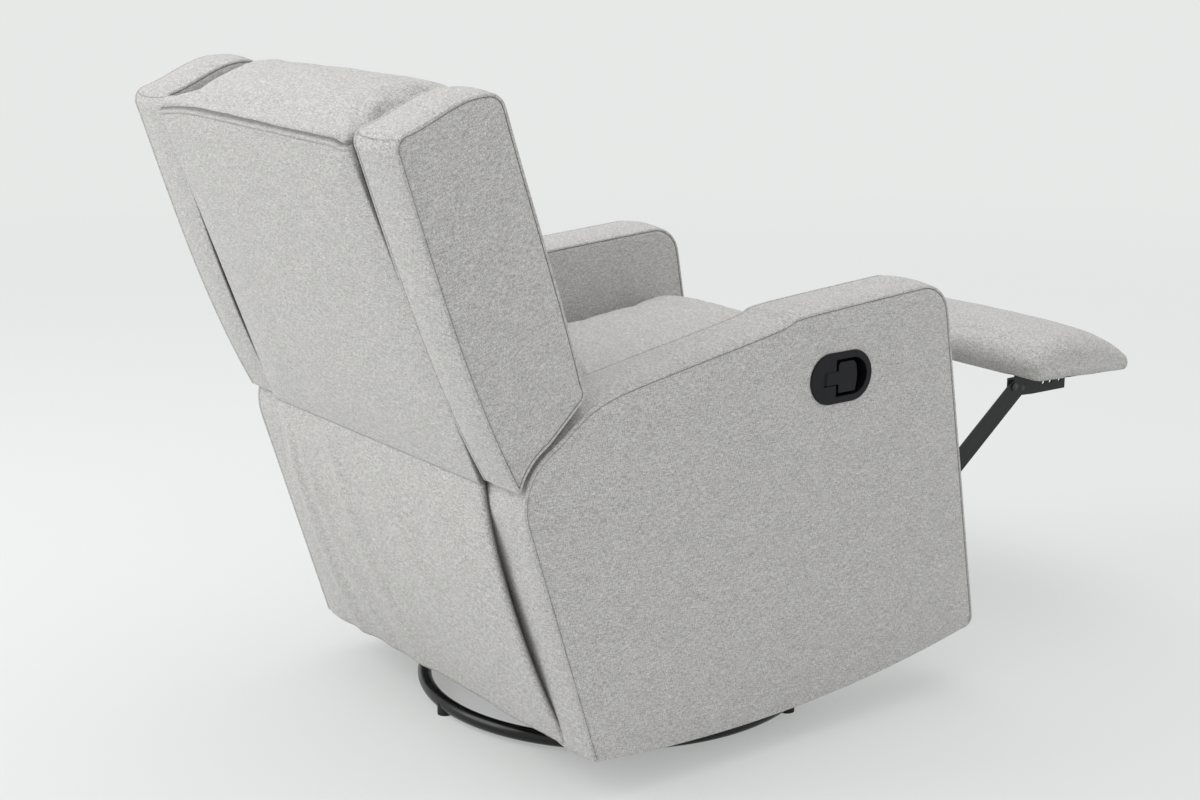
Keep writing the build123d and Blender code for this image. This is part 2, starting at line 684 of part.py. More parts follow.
# -------------------------------------------------------------- reclining back: structure
PANEL_T = 9.0
POST_HALF = IRON_X
POST_W = 30.0
FRAME_T = 45.0
FRAME_FRONT = PANEL_T + FRAME_T
FRAME_TOP = 455.0
RAIL_W = 45.0
with BuildPart() as back_frame:
    with BuildSketch(back_plane(PANEL_T)):
        for centre in (-POST_HALF + POST_W / 2, POST_HALF - POST_W / 2):
            with Locations((centre, 0)):
                Rectangle(POST_W, FRAME_TOP, align=(Align.CENTER, Align.MIN))
        Rectangle(2 * POST_HALF - 20, RAIL_W, align=(Align.CENTER, Align.MIN))
        for low in (215, FRAME_TOP - RAIL_W):
            high = low + RAIL_W
            with BuildLine():
                Polyline(
                    (-panel_half(low), low), (panel_half(low), low), (panel_half(high), high),
                    (-panel_half(high), high), (-panel_half(low), low),
                )
            make_face()
    extrude(amount=FRAME_T)
save(back_frame, "back_frame")

with BuildPart() as back_panel:
    with BuildSketch(back_plane()):
        with BuildLine():
            Polyline(
                (-PANEL_HALF_FOOT, 0), (PANEL_HALF_FOOT, 0), (PANEL_HALF_TOP, BACK_HEIGHT),
                (-PANEL_HALF_TOP, BACK_HEIGHT), (-PANEL_HALF_FOOT, 0),
            )
        make_face()
    extrude(amount=PANEL_T)
save(back_panel, "back_panel")

IRON_T = 4.0
IRON_HALF = 15.0
IRON_ELBOW = (404.0, 508.0)
IRON_IN = FRAME_FRONT - IRON_HALF - 3.0  # centre line of the iron, forward of the panel
BRACKET_RISE = (214.0, 401.0)
for name, side in SIDES:
    with BuildPart() as back_iron:
        with BuildSketch(side_slab(side, IRON_X, IRON_T)):
            add(band(IRON_HALF, RECLINE_PIVOT, IRON_ELBOW))
            add(band(IRON_HALF, IRON_ELBOW, back_point(IRON_IN, 53), back_point(IRON_IN, 150)))
            drill(PIVOT_R + FIT, RECLINE_PIVOT)
            drill(BOLT_R, back_point(IRON_IN, 60), back_point(IRON_IN, 145))
        extrude(amount=IRON_T)
    save(back_iron, f"back_iron_{name}")

    with BuildPart() as back_bracket:
        with BuildSketch(side_slab(side, BRACKET_X, IRON_T)):
            add(band(14, (110, BRACKET_RISE[1]), BRACKET_RISE))
            add(band(IRON_HALF, BRACKET_RISE, RECLINE_PIVOT))
            drill(PIVOT_R, RECLINE_PIVOT)
            drill(BOLT_R, (120, BRACKET_RISE[1]), (186, BRACKET_RISE[1]))
        extrude(amount=IRON_T)
    save(back_bracket, f"back_bracket_{name}")

with BuildPart() as recline_pins:
    add(pin_set((RECLINE_PIVOT,), (
        (IRON_X - SLACK - HEAD_T, HEAD_T, 10.0),
        (IRON_X - SLACK, BRACKET_X + IRON_T - IRON_X + SLACK, PIVOT_R),
    )))
save(recline_pins, "recline_pins")

# -------------------------------------------------------------- reclining back: upholstery


def wing_outline():
    """Side outline of a wing: long leaning edges, humped top, hollow arc over the arm."""
    tip = about_pivot(WING_R, 17)
    hollow_top = about_pivot(WING_R, 62)
    with BuildLine() as outline:
        rear = Spline((435.6, 477), (492, 598), (561, 790), (602, 920))
        heel = ThreePointArc(rear @ 1, (603.5, 937), (592, 949))
        hump = Spline(heel @ 1, (542, 970), (502, 986), (474, 990))
        brow = ThreePointArc(hump @ 1, (457, 986), (446, 971))
        front = Spline(brow @ 1, (413, 867), (353, 681), (331, 604))
        chin = ThreePointArc(front @ 1, (328, 590), (335, 579))
        under = Line(chin @ 1, hollow_top)
        ThreePointArc(under @ 1, about_pivot(WING_R, 38), tip)
        ThreePointArc(tip, (432.8, 475.2), rear @ 0)
    return outline.line


WING_REACH = 262.0
for name, side in SIDES:
    with BuildPart() as wing:
        with BuildSketch(side_slab(side, WING_REACH, HALF_WIDTH - WING_REACH)):
            add(wing_outline())
            make_face()
        extrude(amount=HALF_WIDTH - WING_REACH)
        with BuildSketch(back_plane(-40)):
            with BuildLine():
                low, high = -80.0, BACK_HEIGHT + 80.0
                Polyline(
                    (-panel_half(low), low), (panel_half(low), low), (panel_half(high), high),
                    (-panel_half(high), high), (-panel_half(low), low),
                )
            make_face()
        extrude(amount=300, mode=Mode.SUBTRACT)
    save(wing, f"wing_{name}")


def cushion_sections(half, profile):
    """Loft sections of a back cushion: full in the middle, drawn in at both side edges."""
    sections = []
    for x, fullness in stations(half):
        with BuildSketch(back_profile_plane(x)) as section:
            add(profile(fullness))
            make_face()
        sections.append(section.sketch)
    return sections


def lumbar_profile(share):
    """Profile of the back cushion; the share sets how far its face stands forward."""
    bulge = 22 * share
    with BuildLine() as outline:
        Polyline((150, 324), (FRAME_FRONT, 322), (FRAME_FRONT, 50), (200 + bulge, -30))
        ThreePointArc((200 + bulge, -30), (222 + bulge, -14), (228 + bulge, 30))
        ThreePointArc((228 + bulge, 30), (199 + bulge, 165), (176 + bulge, 306))
        ThreePointArc((176 + bulge, 306), (168 + bulge, 319), (150, 324))
    return outline.line


def head_profile(share):
    """Profile of the head pillow, which rolls over the top of the frame."""
    bulge = 24 * share
    rise = 7 * share
    with BuildLine() as outline:
        Polyline(
            (PANEL_T, 484), (PANEL_T, FRAME_TOP), (FRAME_FRONT, FRAME_TOP), (FRAME_FRONT, 334),
            (146, 336),
        )
        ThreePointArc((146, 336), (171 + bulge, 344), (180 + bulge, 366))
        ThreePointArc((180 + bulge, 366), (185 + bulge, 415), (178 + bulge, 462))
        ThreePointArc((178 + bulge, 462), (168 + bulge, 482 + rise), (144 + bulge, 489 + rise))
        ThreePointArc((144 + bulge, 489 + rise), (80, 491 + rise), (PANEL_T, 484))
    return outline.line


with BuildPart() as back_cushion:
    add(cushion_sections(CUSHION_HALF, lumbar_profile))
    loft(ruled=True)
save(back_cushion, "back_cushion")

with BuildPart() as head_pillow:
    add(cushion_sections(CUSHION_HALF, head_profile))
    loft(ruled=True)
save(head_pillow, "head_pillow")

# ------------------------------------------------------------------------- rear skirt
SKIRT_T = 2.5
SKIRT_TOP = 462.0
FOLDS = 4
FOLD_STEPS = 24


def skirt_section(z, y, half, depth):
    """Cross-section of the hanging skirt, its folds on the left part as deep as given."""
    outer = []
    for step in range(FOLD_STEPS + 1):
        across = step / FOLD_STEPS
        wave = (1 - cos(radians(360 * FOLDS * across))) / 2
        outer.append((half * (2 * across - 1), y + SKIRT_T + depth * wave * across**0.5))
    inner = [(x, fold_y - SKIRT_T) for x, fold_y in reversed(outer)]
    with BuildSketch(floor_plane(z)) as section:
        with BuildLine():
            Polyline(*outer, *inner, outer[0])
        make_face()
    return section.sketch


with BuildPart() as rear_skirt:
    add(skirt_section(SKIRT_TOP, 446, 291, 1))
    add(skirt_section(366, 427, 298, 3))
    add(skirt_section(220, 381, 307, 7))
    add(skirt_section(73, 318.5, 316, 9))
    loft(ruled=True)
save(rear_skirt, "rear_skirt")

# Board that joins the two arms low at the back; the hem of the skirt is held to it.
STRETCHER_T = 20.0
with BuildPart() as rear_stretcher:
    with BuildSketch(side_plane(-ARM_INNER)):
        with BuildLine():
            Polyline(
                (320, 80), (335, 115), (335 - STRETCHER_T, 115), (320 - STRETCHER_T, 80), (320, 80)
            )
        make_face()
    extrude(amount=2 * ARM_INNER)
save(rear_stretcher, "rear_stretcher")

# ------------------------------------------------------------------------- footrest
UNDER_REAR = (-686.0, 440.0)  # rear edge of the board's underside
UNDER_SLOPE = 2.59  # the board drops towards the feet, degrees
BOARD_L = 222.0
BOARD_HALF = 262.0
BOARD_T = 12.0
BOARD_SETBACK = 4.0  # the cover wraps the board's edges
PAD_CROWN = 13.0
PAD_SINK = 10.0


def footrest_plane(height=0.0):
    """Plane over the board's underside: local axes are x and the way back to the seat."""
    slope = radians(UNDER_SLOPE)
    normal = Vector(0, -sin(slope), cos(slope))
    origin = Vector(0, AXIS_Y + UNDER_REAR[0], UNDER_REAR[1]) + normal * height
    return Plane(origin=origin, x_dir=(1, 0, 0), z_dir=normal)


def board_outline():
    """Outline of the footrest board in the footrest plane."""
    with BuildSketch(footrest_plane()) as outline:
        with Locations((0, -BOARD_L / 2)):
            RectangleRounded(2 * (BOARD_HALF - BOARD_SETBACK), BOARD_L - 2 * BOARD_SETBACK, 12)
    return outline.sketch


def pad_section(x, sink, crown):
    """Side profile of the footrest pad at x: flat below, crowned above, rolled at both ends."""
    front_low = (UNDER_REAR[0] - BOARD_L, UNDER_REAR[1] - BOARD_L * sin(radians(UNDER_SLOPE)))
    rise = crown - sink
    with BuildSketch(side_plane(x)) as section:
        with BuildLine():
            Line(UNDER_REAR, front_low)
            ThreePointArc(front_low, (-921 + sink, 443), (-909 + sink, 458 + rise / 2))
            ThreePointArc((-909 + sink, 458 + rise / 2), (-800, 491 + rise), (-692, 485 + rise))
            ThreePointArc((-692, 485 + rise), (-676 - sink, 477 + rise), (-671 - sink, 461))
            Line((-671 - sink, 461), UNDER_REAR)
        make_face()
    return section.sketch


with BuildPart() as footrest_board:
    add(board_outline())
    extrude(amount=BOARD_T)
save(footrest_board, "footrest_board")

with BuildPart() as footrest_pad:
    for x, fullness in stations(BOARD_HALF):
        add(pad_section(x, PAD_SINK * (1 - fullness), PAD_CROWN * fullness))
    loft(ruled=True)
    add(board_outline())
    extrude(amount=BOARD_T, mode=Mode.SUBTRACT)
save(footrest_pad, "footrest_pad")

# Angle irons under the board; the upright leg carries the two lugs and three spare holes.
LUG_HALF = 12.0
for name, side in SIDES:
    with BuildPart() as footrest_bracket:
        with BuildSketch(side_slab(side, DRIVE_X, LINK_T)):
            with BuildLine():
                Polyline(
                    (-669, 437.5), (-669, 412), (-700, 404), (-728, 402), (-812, 401),
                    (-812, 434.2), (-686, 439.9), (-686, 437.5), (-669, 437.5),
                )
            make_face()
            drill(RIVET_R, REAR_LUG, FRONT_LUG)
            drill(3.5, (-758, 418), (-775, 418), (-798, 418))
        extrude(amount=LINK_T)
        flange = 24.0
        with BuildSketch(side_slab(side, DRIVE_X - flange + LINK_T, flange)):
            with BuildLine():
                Polyline(
                    (-720, 438.4), (-812, 434.2), (-812, 431.2), (-720, 435.4), (-720, 438.4)
                )
            make_face()
        extrude(amount=flange)
    save(footrest_bracket, f"footrest_bracket_{name}")

for name, side in SIDES:
    with BuildPart() as drive_link:
        with BuildSketch(side_slab(side, DRIVE_X, LINK_T)):
            add(band(LINK_HALF, DRIVE_PIVOT, CROSS_PIVOT, FRONT_PIVOT))
            drill(8, DRIVE_PIVOT)
            drill(RIVET_R, CROSS_PIVOT, FRONT_PIVOT)
        extrude(amount=LINK_T)
    save(drive_link, f"drive_link_{name}")

    with BuildPart() as long_link:
        with BuildSketch(side_slab(side, LONG_X, LINK_T)):
            add(band(LINK_HALF, TAIL_PIVOT, CROSS_PIVOT, REAR_LUG))
            drill(RIVET_R + FIT, CROSS_PIVOT, REAR_LUG)
            drill(RIVET_R, TAIL_PIVOT)
        extrude(amount=LINK_T)
    save(long_link, f"long_link_{name}")

    with BuildPart() as outer_link:
        with BuildSketch(side_slab(side, OUTER_LINK_X, LINK_T)):
            add(band(LINK_HALF, FRONT_PIVOT, FRONT_LUG))
            drill(RIVET_R + FIT, FRONT_PIVOT, FRONT_LUG)
        extrude(amount=LINK_T)
    save(outer_link, f"outer_link_{name}")

# The guide links steer the tails of the long links.
with BuildPart() as guide_links:
    for name, side in SIDES:
        with BuildSketch(side_slab(side, GUIDE_X, LINK_T)):
            add(band(LINK_HALF, GUIDE_PIVOT, TAIL_PIVOT))
            drill(GUIDE_PIN_R + FIT, GUIDE_PIVOT)
            drill(RIVET_R, TAIL_PIVOT)
        extrude(amount=LINK_T)
save(guide_links, "guide_links")

RIVET_HEAD = 7.0
LONG_FACE = LONG_X + LINK_T
DRIVE_FACE = DRIVE_X + LINK_T
THIN_HEAD = 1.5
TO_OUTER_LINK = (
    (OUTER_LINK_X - SLACK, DRIVE_FACE - OUTER_LINK_X + SLACK, RIVET_R),
    (OUTER_LINK_X - SLACK - THIN_HEAD, THIN_HEAD, RIVET_HEAD),
)
with BuildPart() as drive_rivets:
    add(pin_set((CROSS_PIVOT,), ((DRIVE_X, LONG_FACE - DRIVE_X, RIVET_R),)))
    add(pin_set((FRONT_PIVOT,), TO_OUTER_LINK))
save(drive_rivets, "drive_rivets")

with BuildPart() as bracket_rivets:
    add(pin_set((REAR_LUG,), (
        (DRIVE_X, LONG_FACE + SLACK - DRIVE_X, RIVET_R),
        (LONG_FACE + SLACK, HEAD_T, RIVET_HEAD),
    )))
    add(pin_set((FRONT_LUG,), TO_OUTER_LINK))
save(bracket_rivets, "bracket_rivets")

with BuildPart() as tail_rivets:
    add(pin_set((TAIL_PIVOT,), (
        (GUIDE_X, LINK_T, RIVET_R),
        (GUIDE_FACE, HEAD_T, RIVET_HEAD),
    )))
save(tail_rivets, "tail_rivets")

# Torque shaft: joins the two drive links through the side plates.
with BuildPart() as torque_shaft:
    with BuildSketch(side_plane(-DRIVE_X - LINK_T)):
        with Locations(DRIVE_PIVOT):
            Circle(8)
    extrude(amount=2 * (DRIVE_X + LINK_T))
save(torque_shaft, "torque_shaft")
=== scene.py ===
import json
from math import ceil, cos, exp, hypot, pi, radians, sin

import bmesh
import bpy
import numpy as np
from mathutils import Matrix, Vector, kdtree, noise


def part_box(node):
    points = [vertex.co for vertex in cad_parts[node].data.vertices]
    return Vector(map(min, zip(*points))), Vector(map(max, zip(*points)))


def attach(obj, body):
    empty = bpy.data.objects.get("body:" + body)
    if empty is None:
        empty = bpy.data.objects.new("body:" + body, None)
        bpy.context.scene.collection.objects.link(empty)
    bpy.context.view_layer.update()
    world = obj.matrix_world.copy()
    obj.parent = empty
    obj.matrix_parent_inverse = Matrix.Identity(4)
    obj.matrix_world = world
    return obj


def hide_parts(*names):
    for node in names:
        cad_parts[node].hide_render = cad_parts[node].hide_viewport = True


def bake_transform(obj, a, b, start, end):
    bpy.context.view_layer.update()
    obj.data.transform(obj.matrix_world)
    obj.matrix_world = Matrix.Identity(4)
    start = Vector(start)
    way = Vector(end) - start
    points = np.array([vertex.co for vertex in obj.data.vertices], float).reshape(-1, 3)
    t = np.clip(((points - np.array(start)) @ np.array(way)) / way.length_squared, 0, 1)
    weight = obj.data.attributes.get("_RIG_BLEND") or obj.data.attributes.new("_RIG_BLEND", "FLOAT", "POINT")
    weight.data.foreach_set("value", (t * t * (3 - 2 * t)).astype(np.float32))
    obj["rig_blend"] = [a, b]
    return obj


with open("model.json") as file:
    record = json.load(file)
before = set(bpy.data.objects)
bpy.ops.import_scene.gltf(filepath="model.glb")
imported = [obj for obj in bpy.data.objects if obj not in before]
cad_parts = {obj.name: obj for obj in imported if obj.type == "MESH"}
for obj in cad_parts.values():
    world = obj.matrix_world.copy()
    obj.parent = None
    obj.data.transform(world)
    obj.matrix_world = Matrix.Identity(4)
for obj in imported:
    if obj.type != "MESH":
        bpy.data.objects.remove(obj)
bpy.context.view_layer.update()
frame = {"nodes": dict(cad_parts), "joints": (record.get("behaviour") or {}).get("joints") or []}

# ---------- camera
# The camera stands behind the chair, to the sitter's right and a little above its top,
# and looks down at it. Heights are above the floor; y is told from the swivel axis.
JOINT_AT = {joint["name"]: Vector(joint["pos_m"]) for joint in frame["joints"]}
AXIS_Y = JOINT_AT["swivel"].y
EYE = (-2.3976, AXIS_Y + 1.8009, 1.2211)
EYE_TURN = radians(53.51)
EYE_TILT = radians(14.27)
EYE_LENS = 59.41

camera = bpy.data.objects.new("camera", bpy.data.cameras.new("camera"))
camera.location = EYE
camera.rotation_euler = (pi / 2 - EYE_TILT, 0, pi + EYE_TURN)
camera.data.lens = EYE_LENS
camera.data.sensor_width = 36.0
camera.data.clip_end = 200.0
bpy.context.collection.objects.link(camera)
bpy.context.scene.camera = camera
bpy.context.scene.view_settings.view_transform = "Standard"

# ---------- floor and lighting
# A plain pale floor that runs out of sight, a broad soft box behind the chair on its left
# and another overhead. Far from the chair the floor shows one even tone.
FLOOR_RADIUS = 60.0
FLOOR_COLOUR = (0.76, 0.775, 0.77, 1)
FAR_COLOUR = (0.80, 0.815, 0.805, 1)
FLOOR_BLEND = (1.6, 5.5)  # the lit floor gives way to the even tone between these radii
FLOOR_LIFT = 0.42  # share of the even tone near the chair
SKY_COLOUR = (0.985, 0.99, 1.0, 1)
SKY_LEVEL = 0.86
SOFT_BOXES = (  # name, place, aimed at, width, power
    ("box_behind", (1.9, AXIS_Y + 3.3, 2.7), (0, AXIS_Y, 0.5), 2.8, 80.0),
    ("box_above", (-0.4, AXIS_Y - 0.4, 4.2), (0, AXIS_Y, 0.0), 3.6, 30.0),
)


def feed(tree, socket, value):
    """Link a socket to another node's output, or set it to a plain value."""
    if isinstance(value, bpy.types.NodeSocket):
        tree.links.new(value, socket)
    else:
        socket.default_value = value


def place(tree, kind, **values):
    """Add a shader node and feed its named sockets."""
    made = tree.nodes.new("ShaderNode" + kind)
    for name, value in values.items():
        feed(tree, made.inputs[name.replace("_", " ")], value)
    return made


def calculate(tree, operation, *values):
    """Output of a Math node fed with the values in order."""
    made = tree.nodes.new("ShaderNodeMath")
    made.operation = operation
    for socket, value in zip(made.inputs, values):
        feed(tree, socket, value)
    return made.outputs[0]


def ramp(tree, value, low, high, start=0.0, end=1.0):
    """Value between low and high stretched to start..end, held at both ends."""
    made = tree.nodes.new("ShaderNodeMapRange")
    for socket, item in zip(made.inputs, (value, low, high, start, end)):
        feed(tree, socket, item)
    return made.outputs[0]


def mix_colours(tree, share, first, second):
    """Colour between two, by a share."""
    made = tree.nodes.new("ShaderNodeMix")
    made.data_type = "RGBA"
    for index, item in ((0, share), (6, first), (7, second)):
        feed(tree, made.inputs[index], item)
    return made.outputs[2]


def seen_directly(tree):
    """1 on rays from the camera, in mirrors and through glass, where the backdrop shows."""
    path = tree.nodes.new("ShaderNodeLightPath")
    seen = calculate(tree, "MAXIMUM", path.outputs["Is Camera Ray"], path.outputs["Is Glossy Ray"])
    return calculate(tree, "MAXIMUM", seen, path.outputs["Is Transmission Ray"])


def new_material(name, **values):
    """A material, its tree, its Principled shader with these values set, and the piece's own
    coordinates."""
    material = bpy.data.materials.new(name)
    material.use_nodes = True
    tree = material.node_tree
    shader = tree.nodes["Principled BSDF"]
    for label, value in values.items():
        shader.inputs[label.replace("_", " ")].default_value = value
    return material, tree, shader, place(tree, "TexCoord").outputs["Object"]


def new_piece(name, mesh):
    """A shown object at the origin that holds the mesh."""
    piece = bpy.data.objects.new(name, mesh)
    bpy.context.collection.objects.link(piece)
    return piece


def to_piece(name, bm):
    """Finish a bmesh as a shown object, its faces turned outwards."""
    bmesh.ops.recalc_face_normals(bm, faces=bm.faces[:])
    mesh = bpy.data.meshes.new(name)
    bm.to_mesh(mesh)
    bm.free()
    return new_piece(name, mesh)


floor_finish, tree, shader, spot = new_material(
    "pale_floor", Base_Color=FLOOR_COLOUR, Roughness=0.75, Specular_IOR_Level=0.15
)
centred = tree.nodes.new("ShaderNodeVectorMath")
centred.operation = "LENGTH"
tree.links.new(spot, centred.inputs[0])
far = ramp(tree, centred.outputs["Value"], *FLOOR_BLEND, FLOOR_LIFT)
even = place(tree, "Emission", Color=FAR_COLOUR, Strength=1.0)
join = tree.nodes.new("ShaderNodeMixShader")
tree.links.new(calculate(tree, "MULTIPLY", far, seen_directly(tree)), join.inputs[0])
tree.links.new(shader.outputs[0], join.inputs[1])
tree.links.new(even.outputs[0], join.inputs[2])
tree.links.new(join.outputs[0], tree.nodes["Material Output"].inputs["Surface"])

bm = bmesh.new()
bmesh.ops.create_circle(bm, cap_ends=True, segments=96, radius=FLOOR_RADIUS)
floor = to_piece("floor", bm)
floor.data.materials.append(floor_finish)

world = bpy.context.scene.world or bpy.data.worlds.new("studio")
bpy.context.scene.world = world
world.use_nodes = True
tree = world.node_tree
backdrop = tree.nodes["Background"]
feed(tree, backdrop.inputs["Color"], mix_colours(tree, seen_directly(tree), SKY_COLOUR, FAR_COLOUR))
feed(tree, backdrop.inputs["Strength"], ramp(tree, seen_directly(tree), 0, 1, SKY_LEVEL, 1.0))

for name, spot, aim, width, power in SOFT_BOXES:
    lamp = bpy.data.lights.new(name, "AREA")
    lamp.size = width
    lamp.energy = power
    light = new_piece(name, lamp)
    light.location = spot
    light.rotation_euler = (Vector(aim) - Vector(spot)).to_track_quat("-Z", "Y").to_euler()

# ---------- base ring
# Round steel tube bent into a ring and butt-welded, with a semi-gloss black powder coat.
# The coat has a fine orange peel, and wears thin along edges.
COAT_BLACK = (0.006, 0.006, 0.0065, 1)
COAT_WORN = (0.075, 0.075, 0.078, 1)
EDGE_SIZE = 0.0012


def new_group(name, takes, gives):
    """A shader node group with named sockets, its input node and its output node."""
    group = bpy.data.node_groups.new(name, "ShaderNodeTree")
    for way, sockets in (("INPUT", takes), ("OUTPUT", gives)):
        for label, kind in sockets:
            group.interface.new_socket(label, in_out=way, socket_type="NodeSocket" + kind)
    return group, group.nodes.new("NodeGroupInput"), group.nodes.new("NodeGroupOutput")


def use_group(tree, group, **values):
    """Place a node group in a tree and feed its named inputs."""
    made = tree.nodes.new("ShaderNodeGroup")
    made.node_tree = group
    for name, value in values.items():
        feed(tree, made.inputs[name.replace("_", " ")], value)
    return made


def speckle(tree, spot, scale, detail=2.0):
    """Noise from 0 to 1 at a scale per metre."""
    return place(tree, "TexNoise", Vector=spot, Scale=scale, Detail=detail).outputs[0]


edge_wear, takes, gives = new_group(
    "edge_wear", (("Vector", "Vector"), ("Amount", "Float")), (("Wear", "Float"),)
)
rounded = place(edge_wear, "Bevel", Radius=EDGE_SIZE)
rounded.samples = 4
turned = edge_wear.nodes.new("ShaderNodeVectorMath")
turned.operation = "DOT_PRODUCT"
edge_wear.links.new(rounded.outputs[0], turned.inputs[0])
edge_wear.links.new(edge_wear.nodes.new("ShaderNodeNewGeometry").outputs["Normal"], turned.inputs[1])
sharp = ramp(edge_wear, turned.outputs["Value"], 0.985, 0.90)
patchy = ramp(edge_wear, speckle(edge_wear, takes.outputs["Vector"], 260.0, 3.0), 0.42, 0.66)
worn = calculate(edge_wear, "MULTIPLY", sharp, patchy)
feed(edge_wear, gives.inputs["Wear"], calculate(edge_wear, "MULTIPLY", worn, takes.outputs["Amount"]))


def surface(tree, shader, colour, roughness, strength, distance, height):
    """Feed a finish its colour and roughness, and bump it by a height."""
    feed(tree, shader.inputs["Base Color"], colour)
    feed(tree, shader.inputs["Roughness"], roughness)
    bump = place(tree, "Bump", Strength=strength, Distance=distance, Height=height)
    tree.links.new(bump.outputs[0], shader.inputs["Normal"])


def coated_steel(name, colour, worn_colour, wear, peel, roughness):
    """Paint over steel: orange peel, slight clouding of the gloss, and worn edges."""
    material, tree, shader, spot = new_material(name, Specular_IOR_Level=0.36)
    mask = use_group(tree, edge_wear, Vector=spot, Amount=wear).outputs["Wear"]
    tone = mix_colours(tree, mask, colour, worn_colour)
    cloud = ramp(tree, speckle(tree, spot, 38.0, 3.0), 0.3, 0.7, roughness - 0.05, roughness + 0.07)
    surface(tree, shader, tone, cloud, 0.5, peel, speckle(tree, spot, 900.0))
    return material


def dress(material, *names):
    """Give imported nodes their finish."""
    for name in names:
        slots = frame["nodes"][name].data.materials
        slots.clear()
        slots.append(material)


powder_coat = coated_steel("black_powder_coat", COAT_BLACK, COAT_WORN, 0.35, 0.00012, 0.24)
dress(powder_coat, "base_ring")

# ---------- floor feet
# Six moulded nylon feet clipped under the tube, matt black.
NYLON = (0.016, 0.016, 0.017, 1)
GRAIN_SCALE = 1500.0


def moulded_plastic(name, colour, roughness, grain):
    """Injection-moulded plastic with a fine spark-eroded grain and faint handling marks."""
    material, tree, shader, spot = new_material(name, Specular_IOR_Level=0.22)
    light = tuple(min(1.0, channel * 1.7) for channel in colour[:3]) + (1,)
    marks = ramp(tree, speckle(tree, spot, 90.0, 4.0), 0.35, 0.75)
    tone = mix_colours(tree, marks, colour, light)
    rough = ramp(tree, marks, 0, 1, roughness, roughness + 0.1)
    surface(tree, shader, tone, rough, 0.6, grain, speckle(tree, spot, GRAIN_SCALE, 1.0))
    return material


dress(moulded_plastic("foot_nylon", NYLON, 0.55, 0.00008), "floor_feet")

# ---------- cross, turntable and stand
# Pressed straps, plates and channels in the ring's powder coat; zinc-plated bolts, pins
# and kingpin; polished balls in the race.
ZINC = (0.46, 0.465, 0.48, 1)
ZINC_DULL = (0.30, 0.30, 0.31, 1)
POLISHED = (0.62, 0.62, 0.63, 1)


def bare_metal(name, bright, dull, roughness, streak):
    """Plated or polished steel: cloudy tone, fine turning marks, no paint."""
    material, tree, shader, spot = new_material(name, Metallic=1.0)
    cloud = ramp(tree, speckle(tree, spot, 140.0, 4.0), 0.35, 0.65)
    tone = mix_colours(tree, cloud, bright, dull)
    marks = speckle(tree, place(tree, "Mapping", Vector=spot, Scale=(1, 1, streak)).outputs[0], 700.0)
    rough = ramp(tree, marks, 0.3, 0.7, roughness, roughness + 0.16)
    surface(tree, shader, tone, rough, 0.35, 0.00005, marks)
    return material


zinc_plate = bare_metal("zinc_plate", ZINC, ZINC_DULL, 0.28, 0.1)
ball_polish = bare_metal("ball_polish", POLISHED, ZINC, 0.08, 1.0)
dress(
    powder_coat, "base_cross", "lower_bearing_plate", "upper_bearing_plate", "stand_channels",
    "glide_stand_right", "glide_stand_left",
)
dress(zinc_plate, "swivel_kingpin", "stand_bolts", "glide_top_pins")
dress(ball_polish, "bearing_balls")

# ---------- glide links, side plates, linkage
# Pressed steel in a thin black dip coat, greyer at its edges than the base, with dark
# steel rivets and zinc pins. The footrest's links and brackets wear the same coat.
DIP_BLACK = (0.010, 0.010, 0.011, 1)
DIP_WORN = (0.14, 0.14, 0.15, 1)
dip_coat = coated_steel("black_dip_coat", DIP_BLACK, DIP_WORN, 0.55, 0.00005, 0.40)
dress(
    dip_coat, "glide_links_front", "glide_links_rear", "side_plate_right", "side_plate_left",
    "tie_tubes", "torque_shaft", "drive_link_right", "drive_link_left", "long_link_right",
    "long_link_left", "outer_link_right", "outer_link_left", "guide_links",
    "footrest_bracket_right", "footrest_bracket_left", "back_bracket_right",
    "back_bracket_left", "back_iron_right", "back_iron_left",
)
dark_rivet = bare_metal("dark_rivet", (0.10, 0.10, 0.105, 1), (0.05, 0.05, 0.052, 1), 0.34, 0.2)
dress(dark_rivet, "drive_rivets", "bracket_rivets", "tail_rivets")
dress(zinc_plate, "mechanism_pins", "recline_pins", "lever_pin")

# ---------- wooden frames and springs
# Planed softwood rails, plywood arm and back frames, and the zigzag wire springs of the
# seat. Grain runs along each board.
WOOD_PALE = (0.60, 0.43, 0.25, 1)
WOOD_DARK = (0.40, 0.255, 0.13, 1)
RING_SPACING = 0.011
SPRING_WIRE = (0.20, 0.20, 0.21, 1)


def planed_wood(name, stretch):
    """Softwood with growth lines drawn out along the board, and fine pores."""
    material, tree, shader, spot = new_material(name, Specular_IOR_Level=0.3)
    along = place(tree, "Mapping", Vector=spot, Scale=stretch).outputs[0]
    drift = speckle(tree, along, 9.0, 3.0)
    rings = calculate(tree, "SINE", calculate(tree, "MULTIPLY", drift, 2 * pi * 0.09 / RING_SPACING))
    pores = speckle(tree, along, 900.0)
    ring_tone = ramp(tree, rings, -1, 1, 0.15, 0.7)
    tone = calculate(tree, "ADD", ring_tone, ramp(tree, pores, 0.4, 0.7, 0, 0.3))
    colour = mix_colours(tree, tone, WOOD_PALE, WOOD_DARK)
    surface(tree, shader, colour, ramp(tree, pores, 0.3, 0.7, 0.55, 0.75), 0.4, 0.0002, pores)
    return material


wood_across = planed_wood("softwood_across", (0.06, 1, 1))
wood_along = planed_wood("softwood_along", (1, 0.06, 1))
wood_upright = planed_wood("softwood_upright", (1, 1, 0.06))
dress(wood_across, "seat_rail_rear", "rear_stretcher")
dress(wood_along, "seat_rail_right", "seat_rail_left")
dress(wood_upright, "arm_frame_right", "arm_frame_left", "back_frame")
dress(bare_metal("spring_wire", SPRING_WIRE, ZINC_DULL, 0.35, 1.0), "seat_springs")

